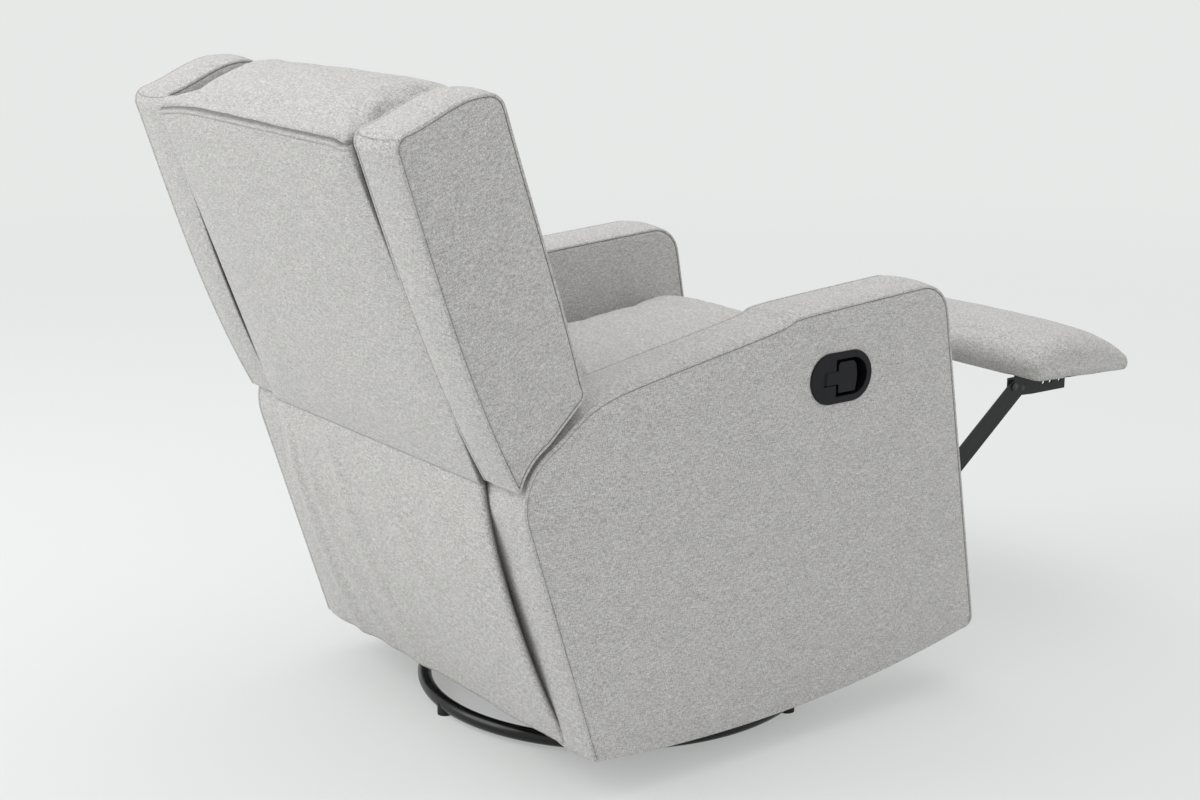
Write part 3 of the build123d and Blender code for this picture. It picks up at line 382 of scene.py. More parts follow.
# ---------- seat cushion
# Foam block in a sewn cover of heather cloth, crowned, with a rolled front edge. The
# cloth is a plain weave of about 11 threads to the centimetre in mixed light and dark
# yarns; the cover is swollen by simulation from a slightly smaller block.
YARN_LIGHT = (0.685, 0.672, 0.650, 1)
YARN_DARK = (0.305, 0.297, 0.290, 1)
THREADS = 1100.0  # a metre
FLECK_SCALE = 600.0
CLOUD_SCALE = 34.0
# Painted shade: where the seam attribute marks seams, grooves and gaps, the cloth goes towards this near
# black.
PAINTED_SEAM_SHADE = (0.02, 0.019, 0.018, 1)
SEAM_SHADE = 0.82  # how far the cloth goes to that painted shade where the seam attribute is full
YARN_RUN = 0.13  # how fast a yarn changes tone along its length
THREAD_STEP = 0.77  # and from each thread to the next
VOXEL = 0.0065
SWELL_STEPS = 20
SWELL_PRESSURE = 4.0
SEAT_GAP = 0.0012  # to the arms
SEAT_SLACK = 0.004  # behind the block
SEAT_FLAT = 0.012  # up from its underside

heather, takes, gives = new_group(
    "heather_weave",
    (("Vector", "Vector"), ("Light Yarn", "Color"), ("Dark Yarn", "Color"), ("Threads", "Float")),
    (("Color", "Color"), ("Roughness", "Float"), ("Height", "Float")),
)


def added(first, second):
    """Sum of two values of the cloth."""
    return calculate(heather, "ADD", first, second)


def times(first, second):
    """Product of two values of the cloth."""
    return calculate(heather, "MULTIPLY", first, second)


laid = takes.outputs["Vector"]
counted = heather.nodes.new("ShaderNodeVectorMath")
counted.operation = "SCALE"
heather.links.new(laid, counted.inputs[0])
heather.links.new(takes.outputs["Threads"], counted.inputs["Scale"])
axes = place(heather, "SeparateXYZ", Vector=counted.outputs[0]).outputs[:2]
whole = [calculate(heather, "FLOOR", axis) for axis in axes]
part = [calculate(heather, "FRACT", axis) for axis in axes]
slow = [times(axis, YARN_RUN) for axis in axes]
step = [times(thread, THREAD_STEP) for thread in whole]
warp = place(heather, "CombineXYZ", X=step[0], Y=slow[1], Z=0.0).outputs[0]
weft = place(heather, "CombineXYZ", X=slow[0], Y=step[1], Z=7.3).outputs[0]
warp_tone = speckle(heather, warp, 1.0, 1.0)
weft_tone = speckle(heather, weft, 1.0, 1.0)
over = calculate(heather, "FLOORED_MODULO", added(*whole), 2.0)
under = calculate(heather, "SUBTRACT", 1.0, over)
yarn = added(times(warp_tone, over), times(weft_tone, under))
fleck = speckle(heather, laid, FLECK_SCALE)
cloud = speckle(heather, laid, CLOUD_SCALE, 3.0)
blotch = added(
    ramp(heather, fleck, 0.3, 0.7, -0.42, 0.42), ramp(heather, cloud, 0.3, 0.7, 0.45, 0.55)
)
tone = added(ramp(heather, yarn, 0.3, 0.7, -0.55, 0.55), blotch)
tone = calculate(heather, "MINIMUM", calculate(heather, "MAXIMUM", tone, 0.0), 1.0)
yarns = (takes.outputs["Dark Yarn"], takes.outputs["Light Yarn"])
feed(heather, gives.inputs["Color"], mix_colours(heather, tone, *yarns))
feed(heather, gives.inputs["Roughness"], ramp(heather, fleck, 0.3, 0.7, 0.82, 0.95))
round_yarn = times(*(calculate(heather, "SINE", times(share, pi)) for share in part))
height = added(times(round_yarn, 0.6), added(times(yarn, 0.5), fleck))
feed(heather, gives.inputs["Height"], height)


def woven_cloth(name, light, dark, threads):
    """Heather upholstery cloth, laid by the piece's own flat UV map in metres, with painted shade where the
    seam attribute is set.
    """
    material, tree, shader, _ = new_material(
        name, Specular_IOR_Level=0.2, Sheen_Weight=0.12, Sheen_Roughness=0.5
    )
    laid = tree.nodes.new("ShaderNodeUVMap")
    laid.uv_map = "weave"
    cloth = use_group(
        tree, heather, Vector=laid.outputs[0], Light_Yarn=light, Dark_Yarn=dark, Threads=threads
    )
    # Painted shade from the seam attribute, darker in seams, grooves and gaps.
    stitched = tree.nodes.new("ShaderNodeAttribute")
    stitched.attribute_name = "seam"
    painted_shade = calculate(tree, "MULTIPLY", stitched.outputs["Fac"], SEAM_SHADE)
    shaded = mix_colours(tree, painted_shade, cloth.outputs["Color"], PAINTED_SEAM_SHADE)
    rough, height = (cloth.outputs[label] for label in ("Roughness", "Height"))
    surface(tree, shader, shaded, rough, 0.55, 0.0004, height)
    return material


cover_cloth = woven_cloth("heather_cloth", YARN_LIGHT, YARN_DARK, THREADS)


def all_of(items, field, kind=float, width=1):
    """One field of all items as an array."""
    flat = np.empty(width * len(items), kind)
    items.foreach_get(field, flat)
    return flat.reshape(-1, width) if width > 1 else flat


def points_of(mesh):
    """Vertex places of a mesh."""
    return all_of(mesh.vertices, "co", width=3)


def move_points(mesh, points):
    """Write vertex places back to a mesh."""
    mesh.vertices.foreach_set("co", points.astype(np.float32).ravel())
    mesh.update()


def normals_of(mesh):
    """Vertex normals of a mesh."""
    return all_of(mesh.vertex_normals, "vector", width=3)


def lay_weave(mesh, lean):
    """Lay the cloth on each side of a mesh: UV in metres, on the plane each face looks to,
    after the piece is turned upright by its lean."""
    upright = np.array(Matrix.Rotation(lean, 3, "X"))
    layer = mesh.uv_layers.new(name="weave")
    facing = all_of(mesh.polygons, "normal", width=3)
    side = np.abs(facing @ upright.T).argmax(axis=1)
    side = np.repeat(side, all_of(mesh.polygons, "loop_total", int))
    at = (points_of(mesh) @ upright.T)[all_of(mesh.loops, "vertex_index", int)]
    across = np.where(side == 0, at[:, 1], at[:, 0])
    along = np.where(side == 2, at[:, 1], at[:, 2])
    layer.data.foreach_set("uv", np.stack([across, along], 1).astype(np.float32).ravel())


def applied(piece):
    """Give a piece the mesh that its modifiers make, and take them off."""
    graph = bpy.context.evaluated_depsgraph_get()
    mesh = bpy.data.meshes.new_from_object(piece.evaluated_get(graph), depsgraph=graph)
    piece.modifiers.clear()
    piece.data = mesh


def foam_block(name, nodes, voxel, inset):
    """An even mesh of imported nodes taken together, drawn in by the inset all round."""
    bm = bmesh.new()
    for node in nodes:
        bm.from_mesh(frame["nodes"][node].data)
    bmesh.ops.remove_doubles(bm, verts=bm.verts, dist=1e-5)
    piece = to_piece(name, bm)
    even = piece.modifiers.new("even", "REMESH")
    even.mode = "VOXEL"
    even.voxel_size = voxel
    applied(piece)
    move_points(piece.data, points_of(piece.data) - inset * normals_of(piece.data))
    return piece


def swell(piece, most, drawn_back=1.0):
    """Blow the cover out with a cloth simulation, no point further than most. Where the
    cover pulls in over the foam's corners it goes only the given share of the way."""
    start = points_of(piece.data)
    ways = normals_of(piece.data)
    cloth = piece.modifiers.new("cover", "CLOTH")
    cloth.settings.use_pressure = True
    cloth.settings.uniform_pressure_force = SWELL_PRESSURE
    cloth.settings.effector_weights.gravity = 0.0
    cloth.settings.quality = 4
    cloth.point_cache.frame_end = SWELL_STEPS + 1
    for step_number in range(1, SWELL_STEPS + 1):
        bpy.context.scene.frame_set(step_number)
    applied(piece)
    bpy.context.scene.frame_set(1)
    travel = points_of(piece.data) - start
    inwards = np.maximum(-np.sum(travel * ways, axis=1), 0.0)
    travel += ways * (inwards * (1 - drawn_back))[:, None]
    length = np.linalg.norm(travel, axis=1, keepdims=True)
    share = most * np.tanh(length / most) / np.maximum(length, 1e-9)
    move_points(piece.data, start + travel * share)


def press(piece, at, outward):
    """Flatten what stands past a plane, where the cushion rests against something."""
    points = points_of(piece.data)
    outward = np.array(outward) / np.linalg.norm(outward)
    past = np.maximum((points - np.array(at)) @ outward, 0.0)
    move_points(piece.data, points - np.outer(past, outward))


def creased(piece, size, depth, seed):
    """Shallow soft creases over the cover, longer one way than the other."""
    points = points_of(piece.data)
    ways = normals_of(piece.data)
    heights = np.array([
        noise.noise(Vector((x / size, y / (2.2 * size), z / size)) + Vector((seed, 0, 0)))
        for x, y, z in points
    ])
    ridges = 1.0 - 2.0 * np.abs(heights)
    move_points(piece.data, points + ways * (depth * ridges)[:, None])


def filled_cover(name, nodes, inset, most, crease, voxel=VOXEL, drawn_back=1.0):
    """A cushion's cover: foam drawn in, then swollen and creased."""
    piece = foam_block(name, nodes, voxel, inset)
    swell(piece, most, drawn_back)
    creased(piece, *crease)
    return piece


def finish_cloth(piece, body, node, lean=0.0, divide=1):
    """Cloth, weave, smoothing and frame calls that every upholstered piece takes."""
    mesh = piece.data
    mesh.materials.clear()
    mesh.materials.append(cover_cloth)
    mesh.shade_smooth()
    lay_weave(mesh, lean)
    if divide:
        finer = piece.modifiers.new("finer", "SUBSURF")
        finer.levels = finer.render_levels = divide
    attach(piece, body)
    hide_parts(node)


ARM_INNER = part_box("arm_cover_left")[0].x
seat_low, seat_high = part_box("seat_cushion")
seat = filled_cover(
    "seat_cover", ["seat_cushion"], inset=0.010, most=0.022, crease=(0.16, 0.0022, 3.1)
)
for way in (-1, 1):
    press(seat, (way * (ARM_INNER - SEAT_GAP), 0, 0), (way, 0, 0))
press(seat, (0, 0, seat_low.z + SEAT_FLAT), (0, 0, -1))
press(seat, (0, seat_high.y + SEAT_SLACK, 0), (0, 1, 0))
finish_cloth(seat, "chassis", "seat_cushion")

# ---------- arm covers
# Each arm is two side panels joined by a boxing band, pulled tight over foam and boards.
# The seam turns over the corner as a raised strip between two lines of stitching; the
# bottom edge is plain. The right outer panel is cut out behind the release handle.
ARM_STEP = 0.0060  # length of the outline's steps
PANEL_GRID = 0.009
PANEL_RINGS = (0.015, 0.0105, 0.0075, 0.0056)  # inwards from the outline
SMOOTHINGS = 2  # of the outline, whose corners are softened by the foam
STRIP = (  # inwards, downwards from the corner, over the raised strip to the band
    (0.0046, 0.0018), (0.0041, 0.0004), (0.0030, -0.0004), (0.0015, 0.0), (0.0003, 0.0011),
    (-0.0004, 0.0027), (-0.0004, 0.0045), (0.0003, 0.0062),
)
PLAIN = (
    (0.0046, 0.0), (0.0038, 0.0), (0.0027, 0.0001), (0.0014, 0.0006), (0.0006, 0.0014),
    (0.0001, 0.0027), (0.0, 0.0045), (0.0, 0.0062),
)
BAND_ROWS = 13
STITCH_AT = 0.0013  # of the strip's second stitch line, in from the band's edge
STITCH_W = 0.0012
STITCH_DIP = 0.0007
SECOND_STITCH_SHADE = 0.40  # painted shade along the strip's second stitch line
MERGE = 0.0009
PUFF_REACH = 0.05  # how far in from a seam a panel reaches most of its puff
BAND_REACH = 0.022
ARM_PUFF = 0.0065
ARM_PUFF_INSIDE = 0.0012
ARM_BAND_PUFF = 0.0050
RECLINE_AT = JOINT_AT["recline"]
SHOULDER_R = 0.084
HANDLE_AT = (AXIS_Y - 0.1265, 0.550)
FLANGE = (0.119, 0.076)
CUP_HOLE = (0.1046, 0.0616)
CUP_CUT = 0.06
BEHIND_SKIRT = (0.27, 0.085, 0.455)  # painted shade on the band's inner edge past this y, between these heights
# width and strength of the painted shade in that dark cavity
CAVITY_SHADE_WIDTH = 0.006
CAVITY_SHADE = 0.9


def soft_step(value, low, high):
    """0 below low, 1 above high, smooth between; for a number or an array."""
    share = np.clip((value - low) / (high - low), 0.0, 1.0)
    return share * share * (3 - 2 * share)


def outline_of(node, at_x, step):
    """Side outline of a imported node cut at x, in even steps, anticlockwise seen from +x."""
    bm = bmesh.new()
    bm.from_mesh(frame["nodes"][node].data)
    bmesh.ops.remove_doubles(bm, verts=bm.verts, dist=1e-5)
    bmesh.ops.bisect_plane(
        bm, geom=bm.verts[:] + bm.edges[:] + bm.faces[:], dist=1e-7, plane_co=(at_x, 0, 0),
        plane_no=(1, 0, 0), clear_inner=True, clear_outer=True,
    )
    bmesh.ops.remove_doubles(bm, verts=bm.verts, dist=1e-4)
    bmesh.ops.edgenet_fill(bm, edges=bm.edges[:])
    bmesh.ops.dissolve_limit(bm, angle_limit=0.004, verts=bm.verts[:], edges=[])
    side = max(bm.faces, key=lambda f: f.calc_area())
    for edge in side.edges[:]:
        cuts = ceil(edge.calc_length() / step) - 1
        if cuts > 0:
            bmesh.ops.subdivide_edges(bm, edges=[edge], cuts=cuts)
    side = max(bm.faces, key=lambda f: f.calc_area())
    side.normal_update()
    loop = [Vector((0, v.co.y, v.co.z)) for v in side.verts]
    if side.normal.x < 0:
        loop.reverse()
    bm.free()
    for _ in range(SMOOTHINGS):
        ring = loop[-1:] + loop + loop[:1]
        loop = [(a + 2 * b + c) / 4 for a, b, c in zip(ring, ring[1:], ring[2:])]
    return loop


def ways_inside(outline):
    """Direction square to an outline at each of its points, to the inside."""
    ways = []
    for index in range(len(outline)):
        along = (outline[(index + 1) % len(outline)] - outline[index - 1]).normalized()
        ways.append(Vector((0, -along.z, along.y)))
    return ways


def near_outline(outline):
    """Search tree of points spread closely along an outline, eight to a step."""
    tree = kdtree.KDTree(8 * len(outline))
    for index, start in enumerate(outline):
        for part_of in range(8):
            at = start.lerp(outline[(index + 1) % len(outline)], part_of / 8)
            tree.insert(at, 8 * index + part_of)
    tree.balance()
    return tree


def moved_in(outline, distance, tree):
    """An outline drawn in by a distance, bridged where it would cross itself."""
    ways = ways_inside(outline)
    ring = [at + way * distance for at, way in zip(outline, ways)]
    count = len(ring)
    sound = [tree.find(at)[2] > 0.97 * distance - 1e-6 for at in ring]
    for index in range(count):
        if not sound[index]:
            back = next(k for k in range(1, count) if sound[index - k])
            on = next(k for k in range(1, count) if sound[(index + k) % count])
            ring[index] = ring[index - back].lerp(ring[(index + on) % count], back / (back + on))
    return ring


def cut_lines(bm, faces, axis, spacing):
    """Cut faces into strips square to an axis; returns the strips."""
    normal = Vector([float(axis == i) for i in range(3)])
    spread = [v.co[axis] for f in faces for v in f.verts]
    place_at = min(spread) + spacing / 2
    while place_at < max(spread) - spacing / 4:
        crossed, clear = [], []
        for face in faces:
            sides = [v.co[axis] - place_at for v in face.verts]
            (crossed if min(sides) < -1e-6 and max(sides) > 1e-6 else clear).append(face)
        geometry = {g for f in crossed for g in (f, *f.edges, *f.verts)}
        cut = bmesh.ops.bisect_plane(
            bm, geom=list(geometry), dist=1e-7, plane_co=normal * place_at, plane_no=normal
        )
        faces = clear + [g for g in cut["geom"] if isinstance(g, bmesh.types.BMFace)]
        place_at += spacing
    return faces


def rippled(at, from_seam, seed):
    """Slight unevenness of stretched cloth, none along its seam."""
    wave = noise.noise(9 * at + Vector((seed, 0, 0)))
    ripple = noise.noise(60 * at + Vector((0, seed, 0)))
    return (0.0010 * wave + 0.0003 * ripple) * soft_step(from_seam, 0.004, 0.05)


def sewn_shell(outline, outer_x, inner_x, sewn, panel_puff, band_rise, seed):
    """Two panels and a boxing band sewn round an outline, as a closed mesh.
    inner_x(y, z) is where the inner panel lies; sewn is each point's share of the raised
    strip; panel_puff(y, z, outer) is how far a panel stands off its seam in the end, and
    band_rise(at, from_seam) how far the band does."""
    tree = near_outline(outline)
    ways = ways_inside(outline)
    rings = [moved_in(outline, distance, tree) for distance in PANEL_RINGS]
    strip = [moved_in(outline, inwards, tree) for inwards, _ in STRIP]
    plain = [moved_in(outline, inwards, tree) for inwards, _ in PLAIN]
    down = STRIP[-1][1]
    rows = []
    for outer in (True, False):
        side = []
        for ring in rings:
            side.append([Vector((outer_x if outer else inner_x(*at.yz), *at.yz)) for at in ring])
        for step_number in range(len(STRIP)):
            row = []
            for index, share in enumerate(sewn):
                at = plain[step_number][index].lerp(strip[step_number][index], share)
                drop = PLAIN[step_number][1] * (1 - share) + STRIP[step_number][1] * share
                row.append(Vector((outer_x - drop if outer else inner_x(*at.yz) + drop, *at.yz)))
            side.append(row)
        rows.append(side)
    band = []
    for row_number in range(1, BAND_ROWS):
        share = 0.5 - 0.5 * cos(pi * row_number / BAND_ROWS)
        row = []
        for at, way, seam in zip(outline, ways, sewn):
            low = inner_x(*at.yz) + down
            width = outer_x - down - low
            spot = Vector((low + width * (1 - share), *at.yz))
            from_seam = min(share, 1 - share) * width
            rise = band_rise(at, from_seam) + rippled(spot, from_seam, seed)
            rise -= STITCH_DIP * seam * exp(-(((from_seam - STITCH_AT) / STITCH_W) ** 2))
            row.append(spot - way * rise)
        band.append(row)
    bm = bmesh.new()
    painted_shade = bm.verts.layers.float.new("seam")
    grid = [[bm.verts.new(at) for at in row] for row in rows[0] + band + rows[1][::-1]]
    count = len(outline)
    for first, second in zip(grid, grid[1:]):
        for index in range(count):
            turn = (index + 1) % count
            bm.faces.new((first[index], first[turn], second[turn], second[index]))
    bm.faces.new(grid[0][::-1])
    bm.faces.new(grid[-1])
    fixed = {v for row in grid[len(rings):-len(rings)] for v in row}
    # Painted shade in the strip's two stitch lines, full in the first and lighter in the second.
    for row_number, shade in ((0, 1.0), (len(STRIP) - 1, SECOND_STITCH_SHADE)):
        for row in (grid[len(rings) + row_number], grid[-len(rings) - 1 - row_number]):
            for vertex, seam in zip(row, sewn):
                vertex[painted_shade] = shade * seam
    bunched = [v for v in bm.verts if v not in fixed]
    bmesh.ops.remove_doubles(bm, verts=bunched, dist=MERGE)
    for cap in [f for f in bm.faces if len(f.verts) > 20]:
        strips = cut_lines(bm, [cap], 1, PANEL_GRID)
        cut_lines(bm, strips, 2, PANEL_GRID)
    for vertex in bm.verts:
        if vertex in fixed:
            continue
        at = vertex.co.copy()
        outer = abs(at.x - outer_x) < 0.02
        _, nearest, distance = tree.find((0, at.y, at.z))
        past = max(distance - STRIP[0][0], 0.0)
        rise = panel_puff(at.y, at.z, outer) * (1 - exp(-past / PUFF_REACH))
        rise += rippled(at, past, seed)
        rise -= STRIP[0][1] * sewn[nearest // 8] * exp(-((past / STITCH_W) ** 2))
        vertex.co.x += rise if outer else -rise
    return bm


def drawn_out(bm, faces):
    """Extrude faces where they are, for the wall between; returns the new vertices."""
    drawn = bmesh.ops.extrude_face_region(bm, geom=faces)
    return [g for g in drawn["geom"] if isinstance(g, bmesh.types.BMVert)]


def slot_gap(y, z, size):
    """Distance from a slot-shaped outline round the handle, below 0 inside it."""
    half = (size[0] - size[1]) / 2
    beside = max(abs(y - HANDLE_AT[0]) - half, 0.0)
    return hypot(beside, z - HANDLE_AT[1]) - size[1] / 2


def puffed_band(at, from_seam, puff, flat_to, full_from):
    """Rise of a puffed band that lies flatter round the recline pivot, out to a radius."""
    from_pivot = hypot(at.y - RECLINE_AT.y, at.z - RECLINE_AT.z)
    ease = 0.15 + 0.85 * soft_step(from_pivot, flat_to, full_from)
    return puff * ease * (1 - exp(-from_seam / BAND_REACH))


def arm_band_rise(at, from_seam):
    """The band lies flatter on the shoulder, where the wing swings past."""
    return puffed_band(at, from_seam, ARM_BAND_PUFF, SHOULDER_R + 0.003, SHOULDER_R + 0.06)


SIDES = ((-1, "right"), (1, "left"))
HALF_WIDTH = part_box("arm_cover_left")[1].x
arm_line = outline_of("arm_cover_left", ARM_INNER + 0.008, ARM_STEP)
arm_sewn = [1.0 - soft_step(way.z, 0.60, 0.88) for way in ways_inside(arm_line)]
for side, word in SIDES:
    def arm_panel_puff(y, z, outer):
        """A panel's puff; the right outer panel stays flat under the handle's flange."""
        if not outer:
            return ARM_PUFF_INSIDE
        return ARM_PUFF * (soft_step(slot_gap(y, z, FLANGE), -0.002, 0.075) if side < 0 else 1.0)

    bm = sewn_shell(
        arm_line, HALF_WIDTH, lambda y, z: ARM_INNER, arm_sewn, arm_panel_puff, arm_band_rise,
        2.0 + side,
    )
    painted_shade = bm.verts.layers.float["seam"]
    # Painted shade on the band's inner edge, in the dark cavity behind the skirt.
    for vertex in bm.verts:
        behind = vertex.co.y - AXIS_Y > BEHIND_SKIRT[0]
        beside = BEHIND_SKIRT[1] < vertex.co.z < BEHIND_SKIRT[2]
        if behind and beside and vertex.co.x < ARM_INNER + CAVITY_SHADE_WIDTH:
            vertex[painted_shade] = CAVITY_SHADE
    bmesh.ops.scale(bm, vec=(side, 1, 1), verts=bm.verts)
    arm = to_piece(f"arm_cloth_{word}", bm)
    if side < 0:
        bm = bmesh.new()
        bmesh.ops.create_circle(bm, cap_ends=True, segments=64, radius=CUP_HOLE[1] / 2)
        stretch = (CUP_HOLE[0] - CUP_HOLE[1]) / 2
        for vertex in bm.verts:
            vertex.co.x += stretch if vertex.co.x > 0 else -stretch
        bmesh.ops.translate(bm, vec=(0, 0, CUP_CUT), verts=drawn_out(bm, bm.faces[:]))
        bmesh.ops.transform(
            bm, matrix=Matrix.Translation((-HALF_WIDTH - 0.02, *HANDLE_AT))
            @ Matrix.Rotation(pi / 2, 4, "Y") @ Matrix.Rotation(pi / 2, 4, "Z"), verts=bm.verts,
        )
        cutter = to_piece("cup_cutter", bm)
        hole = arm.modifiers.new("cup_hole", "BOOLEAN")
        hole.operation = "DIFFERENCE"
        hole.solver = "EXACT"
        hole.object = cutter
        applied(arm)
        bpy.data.objects.remove(cutter)
    finish_cloth(arm, "chassis", f"arm_cover_{word}", divide=0)

# ---------- release handle
# Cup and paddle are moulded in black plastic with a fine grain.
HANDLE_BLACK = (0.0052, 0.0052, 0.0068, 1)
handle_finish = moulded_plastic("handle_plastic", HANDLE_BLACK, 0.36, 0.00006)
dress(handle_finish, "handle_cup", "release_lever")

# ---------- wings
# A wing is built like an arm: two panels and a boxing band over boards and foam, with the
# raised strip all round. Its inner panel lies along the edge of the back, so the band
# narrows downwards; the band is pieced across near its rear top.
BACK_LEAN = radians(20.8)
BACK_FOOT = (0.439, 0.468)
BACK_HEIGHT = 0.493
PANEL_HALF_FOOT = 0.2918
PANEL_HALF_TOP = 0.2733
WING_STEP = 0.0042
WING_PUFF = 0.0060
WING_PUFF_INSIDE = 0.0008
WING_BAND_PUFF = 0.0045
HOLLOW_R = 0.092
WING_SEAM_UP = 0.500  # cross seam of the band, up the back
WING_SEAM_W = 0.0016
WING_SEAM_DIP = 0.0008
# painted shade along the band's cross seam
WING_SEAM_SHADE = 0.5
REAR_DEPTH = 0.05  # the band within this distance of the outside back is its rear side
GROOVE_SHADE = 0.85  # painted shade in the groove where the outside back meets the wing


def up_the_back(y, z):
    """How far up the back's slope a side-profile point lies."""
    return (y - AXIS_Y - BACK_FOOT[0]) * sin(BACK_LEAN) + (z - BACK_FOOT[1]) * cos(BACK_LEAN)


def before_panel(y, z):
    """How far forward of the outside back panel a side-profile point lies."""
    return (z - BACK_FOOT[1]) * sin(BACK_LEAN) - (y - AXIS_Y - BACK_FOOT[0]) * cos(BACK_LEAN)


def back_point(x, up, forward):
    """Point given across the back, up it and forward of its outside panel."""
    y = AXIS_Y + BACK_FOOT[0] + up * sin(BACK_LEAN) - forward * cos(BACK_LEAN)
    return Vector((x, y, BACK_FOOT[1] + up * cos(BACK_LEAN) + forward * sin(BACK_LEAN)))


def panel_half(up):
    """Half the width of the outside back panel at a height up the back."""
    return PANEL_HALF_FOOT + (PANEL_HALF_TOP - PANEL_HALF_FOOT) * up / BACK_HEIGHT


def wing_band_rise(at, from_seam):
    """The band is flatter in the hollow over the arm, and dips along its cross seam."""
    rise = puffed_band(at, from_seam, WING_BAND_PUFF, HOLLOW_R + 0.004, HOLLOW_R + 0.07)
    if before_panel(at.y, at.z) < REAR_DEPTH:
        off_seam = (up_the_back(at.y, at.z) - WING_SEAM_UP) / WING_SEAM_W
        rise -= WING_SEAM_DIP * exp(-(off_seam**2)) * soft_step(from_seam, 0.0, 0.004)
    return rise


wing_line = outline_of("wing_left", HALF_WIDTH - 0.005, WING_STEP)
for level in (WING_SEAM_UP - WING_SEAM_W, WING_SEAM_UP, WING_SEAM_UP + WING_SEAM_W):
    for index, at in enumerate(wing_line):
        following = wing_line[(index + 1) % len(wing_line)]
        above, below = (up_the_back(*p.yz) - level for p in (at, following))
        if above * below < 0 and before_panel(*at.yz) < REAR_DEPTH:
            wing_line.insert(index + 1, at.lerp(following, above / (above - below)))
            break
for side, word in SIDES:
    bm = sewn_shell(
        wing_line, HALF_WIDTH, lambda y, z: panel_half(up_the_back(y, z)), [1.0] * len(wing_line),
        lambda y, z, outer: WING_PUFF if outer else WING_PUFF_INSIDE, wing_band_rise, 11.0 + side,
    )
    painted_shade = bm.verts.layers.float["seam"]
    for vertex in bm.verts:
        up, ahead = (measure(vertex.co.y, vertex.co.z) for measure in (up_the_back, before_panel))
        between = panel_half(WING_SEAM_UP) + 0.004 < vertex.co.x < HALF_WIDTH - 0.004
        # Painted shade along the band's cross seam.
        if abs(up - WING_SEAM_UP) < 0.0006 and between and ahead < REAR_DEPTH:
            vertex[painted_shade] = WING_SEAM_SHADE
        # Painted shade in the groove beside the outside back panel.
        if vertex.co.x < panel_half(up) + 0.0010 and ahead < 0.008 and up < WING_SEAM_UP:
            vertex[painted_shade] = GROOVE_SHADE
    bmesh.ops.scale(bm, vec=(side, 1, 1), verts=bm.verts)
    wing = to_piece(f"wing_cloth_{word}", bm)
    finish_cloth(wing, "back", f"wing_{word}", lean=BACK_LEAN, divide=0)

# ---------- outside back panel
# One piece of cloth stretched over the back frame between the wings, lightly padded and
# blind-stitched down both sides. A narrow strip runs under its seam with the head pillow;
# the seam sags at the sitter's left end and has a small nick at the right.
PANEL_T = 0.009
PANEL_GAP = 0.0008
PANEL_PUFF = 0.0085
PANEL_TOP = 0.4945
PANEL_RISE = 0.0085  # the seam climbs from the sitter's right end to the left
STRIP_ROWS = (0, 0.0012, 0.0025, 0.0040, 0.0055, 0.0068, 0.0080, 0.0092, 0.0105, 0.0125, 0.016)
PANEL_SEAM_SHADES = {  # painted shade in the seam lines, by distance down from the top seam
    0: 0.8, 0.0012: 0.7, 0.0025: 0.25, 0.0092: 0.20, PANEL_TOP: 0.8,
}
PANEL_ROWS = 62
EDGE_COLUMNS = (0, 0.0012, 0.0028, 0.0050, 0.0080)
PANEL_EDGE_SHADES = (0.8, 0.4, 0.05)  # painted shade along the blind-stitched side edges
PANEL_COLUMNS = 70


def panel_top(x):
    """Height up the back of the seam between the panel and the pillow."""
    nick = max(0.0, 1 - abs(x + 0.2570) / 0.0055)
    sag = 0.013 * max(0.0, 1 - (PANEL_HALF_TOP - x) / 0.150) ** 2
    sag += 0.0030 * soft_step(-x, 0.235, 0.268)
    climb = PANEL_RISE * (0.5 + 0.5 * x / PANEL_HALF_TOP)
    return PANEL_TOP + climb - sag - 0.0045 * nick


downs = list(STRIP_ROWS) + list(np.linspace(0.022, PANEL_TOP - 0.008, PANEL_ROWS))
downs += [PANEL_TOP - 0.004, PANEL_TOP - 0.0015, PANEL_TOP]
edges = [1 - step_in / PANEL_HALF_TOP for step_in in EDGE_COLUMNS]
spread = [-share for share in edges] + list(np.linspace(-0.955, 0.955, PANEL_COLUMNS)) + edges[::-1]
bm = bmesh.new()
painted_shade = bm.verts.layers.float.new("seam")
grid = []
for down in downs:
    row = []
    for share in spread:
        top = panel_top(share * PANEL_HALF_TOP)
        up = max(0.0, top - down - (top - PANEL_TOP) * soft_step(down, 0.0, 0.12))
        half = panel_half(up) - PANEL_GAP
        x = share * half
        to_side = half - abs(x)
        to_edge = min(to_side, down, up)
        puff = PANEL_PUFF * (1 - exp(-max(0.0, to_edge) / 0.045))
        roll = -0.0020 * exp(-to_side / 0.0012) - 0.0020 * exp(-up / 0.0015)
        seam = -0.0030 * exp(-((down / 0.0014) ** 2)) - 0.0013 * exp(-(((down - 0.0088) / 0.0012) ** 2))
        seam += 0.0012 * soft_step(down, 0.0, 0.0025) * (1 - soft_step(down, 0.0066, 0.0088))
        wave = noise.noise(Vector((7 * x, 4 * up, 5.0)))
        pulls = noise.noise(Vector((38 * x, 5 * up, 1.0))) * exp(-down / 0.05)
        height = puff + roll + seam + (0.0024 * wave + 0.0018 * pulls) * soft_step(to_edge, 0.002, 0.04)
        row.append(bm.verts.new(back_point(x, up, -height)))
        # Painted shade in the seam lines at top and foot, and along the side edges.
        row[-1][painted_shade] = PANEL_SEAM_SHADES.get(down, 0.0)
    for index, tone in enumerate(PANEL_EDGE_SHADES):
        for vertex in (row[index], row[-1 - index]):
            vertex[painted_shade] = max(vertex[painted_shade], tone * soft_step(down, 0.0, 0.06))
    grid.append(row)
for above, below in zip(grid, grid[1:]):
    for index in range(len(above) - 1):
        bm.faces.new((above[index], below[index], below[index + 1], above[index + 1]))
